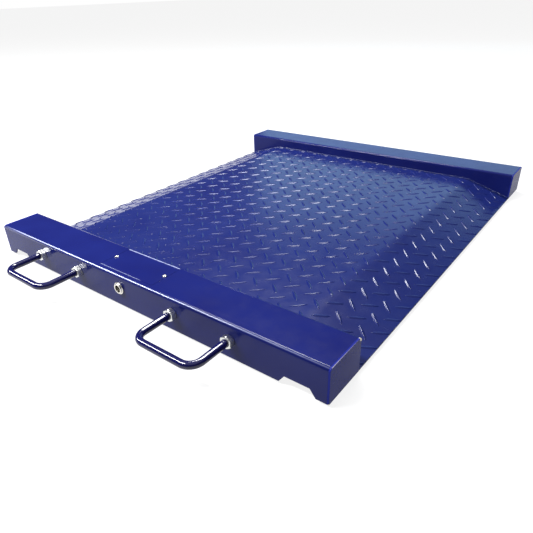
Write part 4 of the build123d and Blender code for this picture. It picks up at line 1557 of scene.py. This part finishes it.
# ---------------------------------------------------------------------------
# Studio
# ---------------------------------------------------------------------------
@dataclass(frozen=True)
class Panel:
    """Soft rectangular light aimed at a point."""

    name: str
    place: Place
    aim: Place
    size: tuple[float, float]
    power: float
    colour: Colour = (1.0, 1.0, 1.0)

    def build(self) -> None:
        """Add the light to the scene."""
        data = bpy.data.lights.new(self.name, "AREA")
        data.shape, (data.size, data.size_y) = "RECTANGLE", self.size
        data.energy, data.color = self.power, self.colour
        light = bpy.data.objects.new(self.name, data)
        bpy.context.scene.collection.objects.link(light)
        light.location = self.place
        light.rotation_euler = (Vector(self.aim) - Vector(self.place)).to_track_quat("-Z", "Y").to_euler()


@dataclass(frozen=True)
class Camera:
    """Camera by its place, aim, roll and shift."""

    place: Place = (0.7859, -1.1185, 0.6009)
    aim: Place = (0.1229, -0.3154, 0.0060)
    roll: float = -2.589
    lens: float = 33.51
    sensor: float = 36.0
    shift: tuple[float, float] = (0.0337, 0.0150)

    def build(self) -> None:
        """Add the camera and make it the scene's."""
        data = bpy.data.cameras.new("camera")
        data.lens, data.sensor_width = self.lens, self.sensor
        data.shift_x, data.shift_y = self.shift
        data.clip_start, data.clip_end = 0.02, 200.0
        camera = bpy.data.objects.new("camera", data)
        bpy.context.scene.collection.objects.link(camera)
        aimed = (Vector(self.aim) - Vector(self.place)).to_track_quat("-Z", "Y").to_matrix().to_4x4()
        camera.matrix_world = Matrix.Translation(self.place) @ aimed @ Matrix.Rotation(
            math.radians(self.roll), 4, "Z")
        bpy.context.scene.camera = camera


@dataclass(frozen=True)
class Backlit(Finish):
    """Pale studio floor that is lit a little from below, so that it stays pale far from the lights."""

    glow: float = 0.85
    glow_colour: Colour = (1.0, 1.0, 1.0)

    def dress(self, graph: Graph) -> None:
        """The finish, with its glow.

        Args:
            graph: the material to dress.
        """
        super().dress(graph)
        graph.skin.inputs["Emission Color"].default_value = (*self.glow_colour, 1.0)
        graph.skin.inputs["Emission Strength"].default_value = self.glow


@dataclass
class Studio:
    """Plain pale floor, soft panels and a surround that is bright overhead and dim low down."""

    radius: float = 60.0
    low_light: float = 0.07
    high_light: float = 0.8
    high_from: float = 0.62
    high_full: float = 0.82
    floor_finish: Backlit = Backlit("floor", (0.14, 0.14, 0.14), (0.13, 0.13, 0.132), 0.8, specular=0.0)
    camera: Camera = Camera()
    panels: tuple[Panel, ...] = (
        Panel("strip", (-2.8, -1.6, 2.4), (-2.8, -0.4, 0.0), (5.0, 0.36), 490.0),
        Panel("overhead", (-0.8, 1.3, 3.1), (-0.8, 0.0, 0.0), (2.3, 0.5), 190.0),
        Panel("back", (-1.3, 4.9, 1.7), (0.0, 0.2, 0.0), (4.4, 1.5), 25.0, (0.50, 0.82, 1.0)))

    def floor(self) -> None:
        """Round floor."""
        shape = Shape()
        radii = [0.0, 0.5, 1.0, 2.0, 5.0, 12.0, 30.0, self.radius]
        shape.grid(lathe(Matrix.Identity(4), [(r, 0.0) for r in radii], 96), wrap_ring=True)
        mesh = bpy.data.meshes.new("floor")
        mesh.from_pydata(shape.points, [], shape.faces)
        mesh.materials.append(material_of(self.floor_finish))
        made = bpy.data.objects.new("floor", mesh)
        bpy.context.scene.collection.objects.link(made)

    def surround(self) -> None:
        """World light: bright overhead, dim near the horizon, plain pale where the camera sees it."""
        world = bpy.data.worlds.new("surround")
        world.use_nodes = True
        tree = world.node_tree
        place, split = tree.nodes.new("ShaderNodeTexCoord"), tree.nodes.new("ShaderNodeSeparateXYZ")
        ramp, path = tree.nodes.new("ShaderNodeMapRange"), tree.nodes.new("ShaderNodeLightPath")
        seen = tree.nodes.new("ShaderNodeMath")
        back = next(n for n in tree.nodes if n.type == "BACKGROUND")
        for name, number in (("From Min", self.high_from), ("From Max", self.high_full),
                             ("To Min", self.low_light), ("To Max", self.high_light)):
            ramp.inputs[name].default_value = number
        seen.operation = "MAXIMUM"
        tree.links.new(place.outputs["Generated"], split.inputs["Vector"])
        tree.links.new(split.outputs["Z"], ramp.inputs["Value"])
        tree.links.new(ramp.outputs["Result"], seen.inputs[0])
        tree.links.new(path.outputs["Is Camera Ray"], seen.inputs[1])
        tree.links.new(seen.outputs["Value"], back.inputs["Strength"])
        back.inputs["Color"].default_value = (1.0, 1.0, 1.0, 1.0)
        bpy.context.scene.world = world

    def build(self) -> None:
        """Set up floor, surround, lights and camera."""
        self.floor()
        self.surround()
        for panel in self.panels:
            panel.build()
        self.camera.build()
        bpy.context.scene.view_settings.view_transform = "Standard"
        LOG.info("studio ready")


def main() -> None:
    """Build every sub-assembly on the frame, then the studio."""
    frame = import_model()
    logging.basicConfig(level=logging.INFO, format="%(name)s: %(message)s")
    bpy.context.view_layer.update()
    for kind in (Rails, TreadDeck, Underframe, Handles, Service, Socket, Feet, Wheels, Leads):
        LOG.info("building %s", kind.__name__)
        kind(frame["nodes"]).build()
    Studio().build()


if __name__ == "__main__":
    main()
